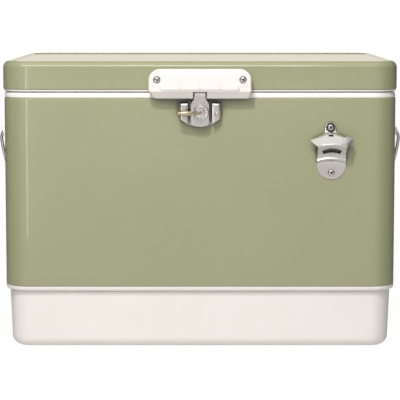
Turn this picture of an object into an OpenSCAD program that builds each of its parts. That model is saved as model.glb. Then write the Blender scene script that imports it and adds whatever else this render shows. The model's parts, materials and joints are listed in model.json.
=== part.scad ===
// Retro picnic cooler chest: a steel-belted, foam-filled tub with a hinged lid,
// a lift grip with a turn-lock hasp, a bottle opener, swing handles and a drain.
// Millimetres, +Z up, the front faces -Y. The origin is on the floor, under the
// centre of the body.

/* [Chest] */
// Width of the steel body
body_w = 593; // [570:1:620]
// Depth of the steel body, front to back
body_d = 400; // [380:1:420]
// Radius of the body's upright corners, seen from above
corner_r = 37.5; // [37:0.5:42]
// Height of the plastic base, up to the groove under its lip
base_h = 88; // [80:1:95]
// Height at which the steel belt ends and the white rim begins
belt_top = 380; // [370:1:400]
// Height of the white rim
rim_h = 7; // [6:0.5:9]
// Thickness of the insulated walls
wall_t = 41; // [38:0.5:44]
// Height of the cavity's floor
floor_z = 52; // [48:1:56]
// Radius of the base's lower edge
base_edge_r = 15; // [12:0.5:18]

/* [Lid] */
// How far the lid overhangs the body on each side
lid_over = 1.5; // [1:0.1:2]
// Open gap between the rim and the lid's skirt
lid_gap = 5.8; // [5:0.1:7]
// Height of the lid's steel skin
lid_h = 42.2; // [40:0.1:46]
// Radius of the lid's upper edge
lid_edge_r = 8; // [6:0.5:10]
// Depth of the panel pressed into the lid's top
panel_depth = 2; // [1:0.5:3]
// How far the pressed panel is set in from the lid's edge
panel_inset = 14; // [12:1:20]

/* [Sheet and shell thickness] */
// Thickness of the painted steel sheet
steel_t = 0.8; // [0.6:0.1:1.2]
// Thickness of the moulded plastic shells
shell_t = 3; // [2.5:0.1:3.5]
// Thickness of the stainless fittings
fitting_t = 1.4; // [1.2:0.1:1.6]

/* [Front grip and hasp] */
// Width of the lift grip
grip_w = 152; // [140:1:170]
// How far the grip stands out from the body's front
grip_out = 20.5; // [19:0.5:22]
// Distance between the grip's two screws
grip_screw_span = 128; // [120:1:134]
// Width of the hasp's strap
strap_w = 28; // [26:1:29]
// Height of the knob's axis
knob_z = 358.5; // [355:0.5:360]
// Radius of the knob's disc
disc_r = 11; // [10:0.5:12]
// Length of the lever, from the knob's axis to its tip
lever_l = 36.5; // [32:0.5:40]

/* [Bottle opener] */
// Position of the opener across the front
opener_x = 197; // [150:1:215]
// Height of the opener's lower end
opener_z = 258; // [200:1:270]
// How far the opener's hood stands out
hood_out = 22; // [18:1:26]

/* [Side handles] */
// Height of the handles' pivots
bail_z = 321; // [290:1:330]
// Distance between the two arms of a handle
bail_w = 124; // [110:1:140]
// Drop of the handle's grip below its pivots
bail_drop = 86; // [76:1:100]
// Thickness of the handle's round bar
bail_bar = 5; // [4.5:0.1:5.4]

/* [Hidden] */
$fn = 96;

green = [0.67, 0.68, 0.55];
white = [0.94, 0.92, 0.89];
steel = [0.76, 0.75, 0.73];
bronze = [0.78, 0.70, 0.56];
foam = [0.93, 0.89, 0.74];
grey_rubber = [0.55, 0.55, 0.53];

fit = 0.05;      // radial room for a pin or screw in its hole
air = 0.2;       // room between pieces that only lie against each other
clear = 0.4;     // room between pieces that move past each other

rim_top = belt_top + rim_h;
lid_z = rim_top + lid_gap;
lid_top = lid_z + lid_h;
lid_w = body_w + 2 * lid_over;
lid_d = body_d + 2 * lid_over;
lid_r = corner_r + lid_over;
cavity_w = body_w - 2 * wall_t;
cavity_d = body_d - 2 * wall_t;
cavity_r = 18;
base_inset = 7.5;         // the base's side walls, in from the body's
lip_h = 8;                // from the base's groove to the belt's lower edge
belt_z = base_h + lip_h;
collar_h = 12;            // collars that hold the belt from inside
cavity_edge_r = 12;       // round edge of the cavity's floor

// ---- shared shapes -------------------------------------------------------

// a rectangle with round corners
module rounded(w, d, r) {
    square([w - 2 * r, d], center = true);
    square([w, d - 2 * r], center = true);
    for (sx = [-1, 1], sy = [-1, 1])
        translate([sx * (w / 2 - r), sy * (d / 2 - r)]) circle(r);
}

// a band that runs round a rounded rectangle: each point of its section is
// [distance in from the outline, height]
module band(w, d, r, section) {
    pts = [for (p = section) [r - p[0], p[1]]];
    for (k = [0:3]) {
        along_x = k % 2 == 1;
        half = along_x ? d / 2 : w / 2;
        side = along_x ? w : d;
        far = along_x ? w / 2 : d / 2;
        rotate([0, 0, 90 * k]) {
            translate([half - r, far - r, 0]) rotate_extrude(angle = 90) polygon(pts);
            translate([half - r, far - r, 0]) rotate([90, 0, 0])
                linear_extrude(side - 2 * r) polygon(pts);
        }
    }
}

// points of an arc about [x, y], from angle a to angle b
function arc(x, y, r, a, b, steps = 8) =
    [for (i = [0:steps]) [x + r * cos(a + (b - a) * i / steps), y + r * sin(a + (b - a) * i / steps)]];

// children drawn with x to the right, y up and z out of the named wall
module on_front(x, z) translate([x, -body_d / 2, z]) rotate([90, 0, 0]) children();
module on_lid_front(x, z) translate([x, -lid_d / 2, z]) rotate([90, 0, 0]) children();
module on_back(x, z) translate([x, body_d / 2, z]) rotate([90, 0, 180]) children();
module on_lid_back(x, z) translate([x, lid_d / 2, z]) rotate([90, 0, 180]) children();
module on_side(s, y, z) translate([s * body_w / 2, y, z]) rotate([90, 0, s * 90]) children();

// a ribbon of half-width r along the points of a path
function side_of(path, i, r) =
    let (a = path[max(i - 1, 0)], b = path[min(i + 1, len(path) - 1)], v = b - a)
    path[i] + r * [-v[1], v[0]] / norm(v);
function ribbon(path, r) = concat(
    [for (i = [0:len(path) - 1]) side_of(path, i, r)],
    [for (i = [len(path) - 1:-1:0]) side_of(path, i, -r)]);

// a pan-head screw with a cross recess, standing on z = 0 with its shank below
module pan_screw(head_r, head_h, shank_r, shank_l) {
    difference() {
        rotate_extrude() polygon(concat(
            [[0, 0], [head_r, 0]],
            [for (i = [0:6]) [head_r * cos(i * 12), head_h * 0.35 + head_h * 0.65 * sin(i * 15)]],
            [[0, head_h]]));
        for (a = [0, 90]) rotate([0, 0, a])
            translate([-head_r * 0.5, -head_r * 0.1, head_h * 0.55]) cube([head_r, head_r * 0.2, head_h]);
    }
    translate([0, 0, -shank_l]) cylinder(h = shank_l + 0.3, r = shank_r);
}

// ---- holes for the fasteners, cut from every shell that they pass through ----

screw_r = 2;              // shank radius of all screws
screw_l = 14;             // shank length under the head
rivet_r = 1.6;            // shank radius of the catch's rivets
rivet_x = 25.5;
rivet_z = knob_z - 1.5;
rivet_l = 9;              // how far a rivet reaches behind the body's face
opener_top_z = opener_z + 78;      // height of the opener's upper screw
opener_low_z = opener_z + 10;      // height of its lower screw
opener_top_x = opener_x - 1.5;
plate_span_y = 66;        // handle plate screws, from mid-depth
plate_span_z = 15;        // and above and below the plate's centre
plate_z = bail_z - 3;     // centre height of the handle plates
hinge_x = 180;            // the two hinges, from the middle
hinge_w = 60;
hinge_screw_x = [-20, 0, 20];
leaf_screw_z = 366;       // height of the screws in the body's leaves
lid_screw_z = lid_z + 18; // and in the lid's
grip_screw_z = lid_z + 15.2;

module screw_hole(extra = 0) translate([0, 0, -screw_l - extra]) cylinder(h = screw_l + 2 * extra + 4, r = screw_r + fit + extra);

module body_fastener_holes(extra = 0) {
    for (s = [-1, 1]) on_front(s * rivet_x, rivet_z)
        translate([0, 0, -rivet_l - extra]) cylinder(h = rivet_l + 4, r = rivet_r + fit + extra);
    on_front(opener_top_x, opener_top_z) screw_hole(extra);
    on_front(opener_x, opener_low_z) screw_hole(extra);
    for (s = [-1, 1], sy = [-1, 1], sz = [-1, 1])
        on_side(s, sy * plate_span_y, plate_z + sz * plate_span_z) screw_hole(extra);
    for (s = [-1, 1], x = hinge_screw_x) on_back(s * hinge_x + x, leaf_screw_z) screw_hole(extra);
}

module lid_fastener_holes(extra = 0) {
    for (s = [-1, 1]) on_lid_front(s * grip_screw_span / 2, grip_screw_z) screw_hole(extra);
    for (s = [-1, 1], x = hinge_screw_x) on_lid_back(s * hinge_x + x, lid_screw_z) screw_hole(extra);
}

// ---- the drain, on the right-hand side near the back ------------------------

drain_y = 90;
drain_z = floor_z + 10;
drain_bore_r = 8;
spout_r = 10.5;
boss_x = body_w / 2 - 5;          // flat face of the boss that the drain seals on
washer_t = 1.5;
flange_t = 3;
flange_r = 16.5;
spout_end_x = boss_x + 16;
cap_r = 13.5;
cap_end_t = 2.5;
seal_t = 1.2;
spout_in = 2;                     // how far the spout's inner end stands into the cavity

module at_drain(x) translate([x, drain_y, drain_z]) rotate([0, 90, 0]) children();
module drain_hole(r) at_drain(cavity_w / 2 - spout_in - air) cylinder(h = 80, r = r);

// ---- body ----------------------------------------------------------------

base_wall_in = base_inset + 1.3;                // the base's wall at its lower edge
base_top_in = base_inset - 1;                   // and at its groove
groove_in = base_inset + 0.5;
base_outer = concat(
    [[base_wall_in + base_edge_r, 0]],
    [for (i = [1:8]) [base_wall_in + base_edge_r - base_edge_r * sin(i * 11.25),
                      base_edge_r - base_edge_r * cos(i * 11.25)]],
    [[base_top_in, base_h - 1.2], [groove_in, base_h - 0.8], [groove_in, base_h + 0.8],
     [5.2, base_h + 1.2], [1.6, base_h + 5], [0.3, base_h + 6.8], [0, base_h + 7.6],
     [0, belt_z]]);
base_inner = concat(
    [[steel_t + air, belt_z], [steel_t + air, belt_z + collar_h],
     [steel_t + air + shell_t, belt_z + collar_h], [steel_t + air + shell_t, belt_z - 4],
     [groove_in + shell_t, belt_z - 6], [groove_in + shell_t, base_h - 6],
     [base_wall_in + shell_t, base_edge_r]],
    [for (i = [7:-1:0]) [base_wall_in + base_edge_r - (base_edge_r - shell_t) * sin(i * 11.25),
                         base_edge_r - (base_edge_r - shell_t) * cos(i * 11.25)]]);
base_floor_in = base_wall_in + base_edge_r - 0.5;

module base_tub() {
    color(white) difference() {
        union() {
            band(body_w, body_d, corner_r, concat(base_outer, base_inner));
            linear_extrude(shell_t)
                rounded(body_w - 2 * base_floor_in, body_d - 2 * base_floor_in, corner_r - base_floor_in);
            intersection() {
                at_drain(boss_x - 7) cylinder(h = 7, r = 19);
                translate([0, 0, base_edge_r]) linear_extrude(base_h - base_edge_r - 2)
                    square([body_w, body_d], center = true);
            }
        }
        drain_hole(spout_r + 0.3);
    }
}

module body_belt() {
    color(green) {
        difference() {
            translate([0, 0, belt_z]) linear_extrude(belt_top - belt_z) difference() {
                rounded(body_w, body_d, corner_r);
                rounded(body_w - 2 * steel_t, body_d - 2 * steel_t, corner_r - steel_t);
            }
            body_fastener_holes();
        }
        // the folded lock seam that closes the belt, upright on the back
        translate([-6, body_d / 2 - 0.3, belt_z]) cube([12, 1.1, belt_top - belt_z - 0.2]);
    }
}

rim_section = [
    [0, belt_top + 0.2], [0, belt_top + 1.6], [1.2, rim_top - 2], [2.6, rim_top - 0.7], [4.4, rim_top],
    [36, rim_top], [36, rim_top - 4],
    [steel_t + air + shell_t, rim_top - 4], [steel_t + air + shell_t, belt_top - collar_h],
    [steel_t + air, belt_top - collar_h], [steel_t + air, belt_top + 0.2]];
liner_w = cavity_w + 2 * shell_t;
liner_d = cavity_d + 2 * shell_t;
liner_r = cavity_r + shell_t;
liner_section = concat(
    [[shell_t, rim_top], [0, rim_top], [0, floor_z + cavity_edge_r]],
    [for (i = [1:8]) let (a = i * 11.25, r = cavity_edge_r + shell_t)
        [r - r * cos(a), floor_z + cavity_edge_r - r * sin(a)]],
    [for (i = [8:-1:0]) let (a = i * 11.25, r = cavity_edge_r)
        [shell_t + r - r * cos(a), floor_z + cavity_edge_r - r * sin(a)]]);

module body_liner() {
    floor_in = cavity_edge_r + shell_t - 0.5;
    color(white) difference() {
        union() {
            band(body_w, body_d, corner_r, rim_section);
            translate([0, 0, rim_top - 4]) linear_extrude(4) difference() {
                rounded(body_w - 2 * 35, body_d - 2 * 35, corner_r - 35);
                rounded(cavity_w + 3, cavity_d + 3, cavity_r + 1.5);
            }
            band(liner_w, liner_d, liner_r, liner_section);
            translate([0, 0, floor_z - shell_t]) linear_extrude(shell_t)
                rounded(liner_w - 2 * floor_in, liner_d - 2 * floor_in, liner_r - floor_in);
        }
        drain_hole(spout_r + 0.3);
        at_drain(cavity_w / 2 - cavity_edge_r) cylinder(h = cavity_edge_r, r = drain_bore_r);
    }
}

module body_foam() {
    in_belt = steel_t + air + shell_t + air;    // clear of the belt and of both collars
    in_base = groove_in + shell_t + 2;
    pocket_in = shell_t + air;
    color(foam) difference() {
        union() {
            translate([0, 0, belt_z - 3]) linear_extrude(rim_top - 4 - air - belt_z + 3)
                rounded(body_w - 2 * in_belt, body_d - 2 * in_belt, corner_r - in_belt);
            translate([0, 0, base_edge_r]) linear_extrude(belt_z - base_edge_r)
                rounded(body_w - 2 * in_base, body_d - 2 * in_base, corner_r - in_base);
            translate([0, 0, shell_t + air]) linear_extrude(base_edge_r)
                rounded(body_w - 2 * in_base - 20, body_d - 2 * in_base - 20, corner_r - in_base - 10);
        }
        translate([0, 0, floor_z + cavity_edge_r]) linear_extrude(rim_top)
            rounded(liner_w + 2 * air, liner_d + 2 * air, liner_r + air);
        translate([0, 0, floor_z - pocket_in]) linear_extrude(cavity_edge_r + 10)
            rounded(liner_w + 2 * air - 0.02, liner_d + 2 * air - 0.02, liner_r + air - 0.01);
        drain_hole(spout_r + 0.8);
        body_fastener_holes(0.3);
    }
}

// ---- lid ----------------------------------------------------------------

skin_section = concat(
    [[0.9, lid_z], [0, lid_z + 0.9]],
    [for (i = [0:8]) [lid_edge_r - lid_edge_r * cos(i * 11.25), lid_top - lid_edge_r + lid_edge_r * sin(i * 11.25)]],
    [[panel_inset - 1.2, lid_top], [panel_inset - 0.4, lid_top - 0.5], [panel_inset, lid_top - 1.4],
     [panel_inset + 0.8, lid_top - panel_depth], [panel_inset + 4, lid_top - panel_depth],
     [panel_inset + 4, lid_top - panel_depth - steel_t],
     [lid_edge_r, lid_top - panel_depth - steel_t]],
    [for (i = [8:-1:0]) let (r = lid_edge_r - steel_t)
        [lid_edge_r - r * cos(i * 11.25), lid_top - panel_depth - lid_edge_r + r * sin(i * 11.25)]],
    [[steel_t, lid_z + 1.4], [2.6, lid_z + 1.2], [2.6, lid_z]]);
panel_in = panel_inset + 3;

module lid_skin() {
    color(green) difference() {
        union() {
            band(lid_w, lid_d, lid_r, skin_section);
            translate([0, 0, lid_top - panel_depth - steel_t]) linear_extrude(steel_t)
                rounded(lid_w - 2 * panel_in, lid_d - 2 * panel_in, lid_r - panel_in);
        }
        lid_fastener_holes();
    }
}

lid_foam_top = lid_top - panel_depth - steel_t - air;
module lid_foam() {
    in = steel_t + air + 2;
    color(foam) difference() {
        union() {
            translate([0, 0, lid_z + 2.6]) linear_extrude(lid_foam_top - lid_edge_r - lid_z - 2.6 + 0.1)
                rounded(lid_w - 2 * in, lid_d - 2 * in, lid_r - in);
            translate([0, 0, lid_foam_top - lid_edge_r]) linear_extrude(lid_edge_r)
                rounded(lid_w - 2 * lid_edge_r - 2, lid_d - 2 * lid_edge_r - 2, lid_r - lid_edge_r - 1);
        }
        lid_fastener_holes(0.3);
    }
}

liner_flange_z = lid_z - 2.4;         // underside of the lid liner's flange
plug_h = 8;                           // how far the liner's rib reaches into the mouth
plug_gap = 3;
plug_w = cavity_w - 2 * plug_gap;
plug_d = cavity_d - 2 * plug_gap;
plug_r = cavity_r - plug_gap;
plug_section = [
    [0, liner_flange_z + 0.5], [0, liner_flange_z - plug_h + 4], [1, liner_flange_z - plug_h + 1.6],
    [3, liner_flange_z - plug_h], [11, liner_flange_z - plug_h], [13, liner_flange_z - plug_h + 1.6],
    [14.6, liner_flange_z + 0.5]];

module lid_liner() {
    color(white) {
        translate([0, 0, liner_flange_z]) linear_extrude(2.3)
            rounded(lid_w - 5, lid_d - 5, lid_r - 2.5);
        translate([0, 0, liner_flange_z + 2]) linear_extrude(2.7)
            rounded(lid_w - 6, lid_d - 6, lid_r - 3);
        band(plug_w, plug_d, plug_r, plug_section);
    }
}

gasket_in = 20;
module lid_gasket() {
    low = rim_top + 0.3;
    top = liner_flange_z - 0.02;
    color(grey_rubber) band(lid_w - 2 * gasket_in, lid_d - 2 * gasket_in, lid_r - gasket_in,
        [[0, top], [0, low + 1.2], [1.2, low], [4.8, low], [6, low + 1.2], [6, top]]);
}

// ---- rear hinges ------------------------------------------------------------

hinge_z = rim_top + 4;                  // the hinge axis
hinge_y = body_d / 2 + 7.5;
knuckle_r = 4.2;
hinge_pin_r = 2;
knuckle_split = 10;                     // half the length of the lid's knuckle
knuckle_air = 0.2;

module hinge_leaf_body(x) {
    leaf_z = 350;
    color(steel) translate([x, 0, 0]) difference() {
        union() {
            translate([-hinge_w / 2, body_d / 2 + 0.02, leaf_z]) cube([hinge_w, fitting_t, hinge_z - 2.5 - leaf_z]);
            for (s = [-1, 1]) {
                x0 = s > 0 ? knuckle_split + knuckle_air : -hinge_w / 2;
                x1 = s > 0 ? hinge_w / 2 : -knuckle_split - knuckle_air;
                translate([x0, hinge_y, hinge_z]) rotate([0, 90, 0]) cylinder(h = x1 - x0, r = knuckle_r);
                translate([x0, body_d / 2 + 0.5, hinge_z - 4.5])
                    cube([x1 - x0, hinge_y - body_d / 2 - 0.5, 2.8]);
            }
        }
        translate([-hinge_w, hinge_y, hinge_z]) rotate([0, 90, 0]) cylinder(h = 2 * hinge_w, r = hinge_pin_r + fit);
        for (hx = hinge_screw_x) translate([hx, body_d / 2 - 1, leaf_screw_z]) rotate([-90, 0, 0])
            cylinder(h = 4, r = screw_r + fit);
    }
}

module hinge_leaf_lid(x) {
    leaf_low = lid_z + 0.6;
    leaf_top = lid_z + 29;
    color(steel) translate([x, 0, 0]) difference() {
        union() {
            translate([-hinge_w / 2, lid_d / 2 + 0.02, leaf_low]) cube([hinge_w, fitting_t, leaf_top - leaf_low]);
            translate([-knuckle_split, hinge_y, hinge_z]) rotate([0, 90, 0])
                cylinder(h = 2 * knuckle_split, r = knuckle_r);
            translate([-knuckle_split, lid_d / 2 + 0.5, leaf_low])
                cube([2 * knuckle_split, hinge_y - lid_d / 2 - 0.5, 2.4]);
        }
        translate([-hinge_w, hinge_y, hinge_z]) rotate([0, 90, 0]) cylinder(h = 2 * hinge_w, r = hinge_pin_r + fit);
        for (hx = hinge_screw_x) translate([hx, lid_d / 2 - 1, lid_screw_z]) rotate([-90, 0, 0])
            cylinder(h = 4, r = screw_r + fit);
    }
}

module hinge_pin(x) {
    color(steel) translate([x - hinge_w / 2 - 1.2, hinge_y, hinge_z]) rotate([0, 90, 0]) {
        cylinder(h = hinge_w + 2.4, r = hinge_pin_r);
        cylinder(h = 1, r = hinge_pin_r + 1);
        translate([0, 0, hinge_w + 1.4]) cylinder(h = 1, r = hinge_pin_r + 1);
    }
}

module hinge_screws_body() {
    color(steel) for (s = [-1, 1], x = hinge_screw_x)
        on_back(s * hinge_x + x, leaf_screw_z) translate([0, 0, fitting_t + 0.04]) pan_screw(3.6, 1.8, screw_r, screw_l);
}

module hinge_screws_lid() {
    color(steel) for (s = [-1, 1], x = hinge_screw_x)
        on_lid_back(s * hinge_x + x, lid_screw_z) translate([0, 0, fitting_t + 0.04]) pan_screw(3.6, 1.8, screw_r, screw_l);
}

// ---- front grip -----------------------------------------------------------

grip_low = rim_top - 7;
grip_band_top = grip_low + 10.6;        // where the sloping band meets the front face
grip_top = lid_z + 31.2;
grip_face_out = grip_out - 2.7;         // front of the plate, behind the raised pad
hasp_z = grip_low + 4.6;                // the hasp's pin
hasp_out = 9;
hasp_pin_r = 1.8;
barrel_r = 3.2;
notch_w = 18.6;
grip_back = lid_over + air;

module grip_outline() {
    r = 15;
    half = grip_w / 2;
    h = grip_top - grip_low;
    polygon(concat(
        [[-half + 3, 0], [half - 3, 0], [half, 4]],
        arc(half - r, h - r, r, 0, 90),
        arc(-half + r, h - r, r, 90, 180),
        [[-half, 4]]));
}

module front_grip() {
    face = grip_face_out;
    color(white) difference() {
        union() {
            intersection() {
                translate([0, -body_d / 2, grip_low]) rotate([90, 0, 0])
                    linear_extrude(grip_out) grip_outline();
                // section of the grip, swept across it: [out from the body's face, height]
                translate([-grip_w / 2 - 1, -body_d / 2, 0]) rotate([90, 0, 90]) linear_extrude(grip_w + 2)
                    polygon(concat(
                        [[-4, grip_low], [-12, grip_low], [-face + 0.8, grip_band_top - 1.2],
                         [-face, grip_band_top]],
                        [for (i = [0:6]) [-face + 7 - 7 * cos(i * 15), grip_top - 7 + 7 * sin(i * 15)]],
                        [[-grip_back, grip_top], [-grip_back, lid_z + 2], [-4, lid_z + 0.5]]));
            }
            grip_pad();
        }
        // hollow back, with the screws' bosses left solid
        translate([0, -body_d / 2 - grip_face_out + 4, grip_band_top + 4]) rotate([-90, 0, 0])
            translate([-grip_screw_span / 2 + 9, -(grip_top - grip_band_top - 9), 0])
                cube([grip_screw_span - 18, grip_top - grip_band_top - 9, grip_face_out]);
        // notch for the hasp
        translate([-notch_w / 2, -body_d / 2 - grip_out - 1, grip_low - 1]) cube([notch_w, grip_out + 2, 10.4]);
        translate([-15, -body_d / 2 - hasp_out, hasp_z]) rotate([0, 90, 0]) cylinder(h = 30, r = hasp_pin_r + fit);
        for (s = [-1, 1]) on_front(s * grip_screw_span / 2, grip_screw_z) {
            translate([0, 0, -1]) cylinder(h = 40, r = screw_r + fit);
            translate([0, 0, grip_face_out - 2.4]) cylinder(h = 10, r = 5.4);
        }
    }
}

// the raised pad, wider at its foot, with three upright finger grooves
module grip_pad() {
    pad_top = grip_top - 7;
    difference() {
        translate([0, -body_d / 2 - grip_face_out + 1, 0]) rotate([90, 0, 0])
            linear_extrude(grip_out - grip_face_out + 1)
                polygon([[-41, pad_top], [-59, pad_top - 17.5], [-59, grip_band_top + 1.4],
                         [59, grip_band_top + 1.4], [59, pad_top - 17.5], [41, pad_top]]);
        for (x = [-29.5, 0, 29.5])
            translate([x - 0.9, -body_d / 2 - grip_out - 1, grip_band_top + 3]) cube([1.8, 1.9, 23]);
    }
}

module grip_screws() {
    color(steel) for (s = [-1, 1]) on_front(s * grip_screw_span / 2, grip_screw_z)
        translate([0, 0, grip_face_out - 2.36]) pan_screw(4.5, 2.3, screw_r, 25);
}

module hasp_pin() {
    color(steel) translate([-14.8, -body_d / 2 - hasp_out, hasp_z]) rotate([0, 90, 0]) cylinder(h = 29.6, r = hasp_pin_r);
}

// ---- hasp and turn lock ----------------------------------------------------

strap_out = hasp_out + 0.8;             // back face of the strap
strap_t = 1.8;
strap_low = knob_z - 20.5;
knob_x = 1.5;                           // the knob sits a little right of the middle
neck_w = 17;
cam_out = strap_out - 4.4;              // back face of the cam
cam_t = 3;
cam_half = 21;
shaft_r = 3;
disc_t = 2;
disc_out = strap_out + strap_t + 0.1;

module strap_outline() {
    w = strap_w / 2;
    polygon(concat(
        [[-neck_w / 2, hasp_z], [-neck_w / 2, knob_z + 15.5], [-w + 1.6, knob_z + 10.5], [-w, knob_z + 6]],
        arc(-w + 9, strap_low + 10.5, 9, 180, 250, 5),
        arc(w - 9, strap_low + 10.5, 9, 290, 360, 5),
        [[w, knob_z + 6], [w - 1.6, knob_z + 10.5], [neck_w / 2, knob_z + 15.5], [neck_w / 2, hasp_z]]));
}

module hasp_strap() {
    color(steel) difference() {
        union() {
            translate([0, -body_d / 2 - strap_out, 0]) rotate([90, 0, 0]) linear_extrude(strap_t) strap_outline();
            translate([-neck_w / 2, -body_d / 2 - hasp_out, hasp_z]) rotate([0, 90, 0]) cylinder(h = neck_w, r = barrel_r);
        }
        translate([-neck_w, -body_d / 2 - hasp_out, hasp_z]) rotate([0, 90, 0])
            cylinder(h = 2 * neck_w, r = hasp_pin_r + fit);
        on_front(knob_x, knob_z) cylinder(h = 30, r = shaft_r + fit);
    }
}

module lock_disc() {
    color(steel) on_front(knob_x, knob_z) difference() {
        union() {
            translate([0, 0, disc_out]) cylinder(h = disc_t, r = disc_r);
            translate([0, 0, cam_out - 0.6]) cylinder(h = disc_out - cam_out + 1, r = shaft_r);
        }
        // shallow dish inside the disc's raised edge, and the slot for the lever
        translate([0, 0, disc_out + disc_t - 0.6]) cylinder(h = 2, r = disc_r - 1.8);
        translate([-10, -1 - fit, disc_out + 0.6]) cube([12, 2 + 2 * fit, 4]);
    }
}

lever_out = disc_out + 7;               // centreline of the lever's bulb
module lock_lever() {
    color(bronze) on_front(knob_x, knob_z) {
        translate([-9.9, -1, disc_out + 0.65]) cube([11.8, 2, 4.5]);
        hull() {
            translate([-0.5, 0, lever_out - 3.2]) sphere(1.1, $fn = 32);
            translate([-22, 0, lever_out]) sphere(3.9, $fn = 32);
        }
        hull() {
            translate([-22, 0, lever_out]) sphere(3.9, $fn = 32);
            translate([-lever_l + 1.6, 0, lever_out + 0.6]) sphere(1.6, $fn = 32);
        }
    }
}

module lock_cam() {
    color(steel) on_front(knob_x, knob_z) difference() {
        translate([0, 0, cam_out]) linear_extrude(cam_t) intersection() {
            square([6, 2 * cam_half], center = true);
            circle(cam_half);
        }
        translate([0, 0, cam_out - 1]) cylinder(h = cam_t + 2, r = shaft_r - 0.5);
    }
}

module lock_washer() {
    color(steel) on_front(knob_x, knob_z) translate([0, 0, cam_out + cam_t + 0.1]) difference() {
        cylinder(h = 1.1, r = 6);
        translate([0, 0, -1]) cylinder(h = 4, r = shaft_r + 0.1);
    }
}

// the catch: a folded channel whose two wings stand out beside the strap
catch_out = 10.4;                       // front of the wings
catch_w = 63.4;
catch_top = knob_z + 15;
catch_low = knob_z - 20;
wing_gap = 17.8;                        // inner edge of a wing, from the middle

module catch_outline() {
    w = catch_w / 2;
    polygon(concat(
        arc(w - 5, catch_top - 5, 5, 0, 90, 5), arc(-w + 5, catch_top - 5, 5, 90, 180, 5),
        [[-w, catch_low + 11], [-16, catch_low], [16, catch_low], [w, catch_low + 11]]));
}

module catch_plate() {
    w = catch_w / 2;
    color(steel) difference() {
        intersection() {
            translate([0, -body_d / 2 - 0.02, 0]) rotate([90, 0, 0]) linear_extrude(catch_out) catch_outline();
            // the channel's section, seen from above
            translate([0, -body_d / 2 - 0.02, catch_low - 1]) linear_extrude(60) difference() {
                translate([-w, -catch_out]) square([2 * w, catch_out]);
                translate([-w + fitting_t, -catch_out + fitting_t])
                    square([2 * (w - fitting_t), catch_out - 2 * fitting_t]);
                translate([-wing_gap, -catch_out - 1]) square([2 * wing_gap, catch_out + 1 - fitting_t]);
            }
        }
        for (s = [-1, 1]) on_front(s * rivet_x, rivet_z) translate([0, 0, -1]) cylinder(h = 20, r = rivet_r + fit);
    }
}

module catch_rivets() {
    color(steel) for (s = [-1, 1]) on_front(s * rivet_x, rivet_z) {
        translate([0, 0, -rivet_l]) cylinder(h = rivet_l + catch_out + 0.3, r = rivet_r);
        translate([0, 0, catch_out + 0.04]) rotate_extrude()
            polygon([[0, 0], [2.9, 0], [2.7, 0.6], [2, 1.1], [1, 1.4], [0, 1.5]]);
    }
}

// ---- bottle opener ----------------------------------------------------------

hood_half = 31.5;
face_half = 21.7;
opener_t = 1.6;
opener_h = 88;                          // longer than the whole opener
opener_fold_z = opener_z + 27.5;        // where the bead leaves the wall
bead_out = 5.7;                         // the rolled bead under the slotted face
bead_h = 6;
hood_bottom_z = opener_z + 52.5;        // lower edge of the hood
opener_hood_z = opener_z + 68;          // where the hood meets the tab
tab_r = 8;                              // the tab's round top
tab_shift = -1.5;
slot_top_z = opener_z + 46.6;           // crown of the arched slot
slot_r = 36.5;
slot_h = 4.5;
slot_half = 14.8;

// half of the hood's outline: [from the middle, up from the opener's foot]
hood_edge = [[face_half, 52], [hood_half, 57.5], [hood_half - 1, 60], [20, 65], [tab_r, 68.5]];

module opener_outline() {
    polygon(concat(
        arc(0, face_half, face_half, 180, 360, 24),
        hood_edge,
        arc(tab_shift, opener_top_z - opener_z, tab_r, 0, 180, 12),
        [for (i = [len(hood_edge) - 1 : -1 : 0]) [-hood_edge[i][0] + (i == len(hood_edge) - 1 ? tab_shift : 0), hood_edge[i][1]]]));
}

module bottle_opener() {
    t = opener_t;
    color(steel) difference() {
        intersection() {
            translate([opener_x, -body_d / 2 - 0.02, opener_z]) rotate([90, 0, 0])
                linear_extrude(hood_out) opener_outline();
            // section of the pressed sheet: flat tab, hood, slotted face, flat plate
            translate([opener_x - 40, -body_d / 2 - 0.02, 0]) rotate([90, 0, 90]) linear_extrude(80)
                polygon([
                    [0, opener_z], [-t, opener_z], [-t, opener_fold_z - 1], [-bead_out, opener_fold_z + t],
                    [-bead_out, opener_fold_z + bead_h], [-hood_out, hood_bottom_z - t], [-hood_out, hood_bottom_z + 1],
                    [-2 * t, opener_hood_z + 0.5], [-t, opener_hood_z + 2], [-t, opener_z + opener_h],
                    [0, opener_z + opener_h], [0, opener_hood_z + 1], [-t * 0.7, opener_hood_z - 1.4],
                    [-hood_out + 1.9, hood_bottom_z - 0.3], [-bead_out + t, opener_fold_z + bead_h + 0.7],
                    [-bead_out + t, opener_fold_z + 2 * t], [-t * 0.7, opener_fold_z + 1.2], [0, opener_fold_z]]);
        }
        // the arched slot that takes the cap's edge
        translate([opener_x, 0, slot_top_z - slot_r]) rotate([90, 0, 0]) linear_extrude(body_d)
            intersection() {
                difference() { circle(slot_r); circle(slot_r - slot_h); }
                translate([-slot_half, 0]) square([2 * slot_half, 2 * slot_r]);
            }
        on_front(opener_top_x, opener_top_z) translate([0, 0, -1]) cylinder(h = 10, r = screw_r + fit);
        on_front(opener_x, opener_low_z) translate([0, 0, -1]) cylinder(h = 10, r = screw_r + fit);
    }
}

module opener_screws() {
    color(steel) {
        on_front(opener_top_x, opener_top_z) translate([0, 0, opener_t + 0.06]) pan_screw(5.2, 2.4, screw_r, screw_l);
        on_front(opener_x, opener_low_z) translate([0, 0, opener_t + 0.06]) pan_screw(5.2, 2.4, screw_r, screw_l);
    }
}

// ---- side handles ------------------------------------------------------------

bail_r = bail_bar / 2;
pivot_out = 7;                          // the handle's pivot, out from the wall
ear_y = bail_w / 2 + 4;                 // inner face of a bracket's ear
ear_t = 3;

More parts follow.
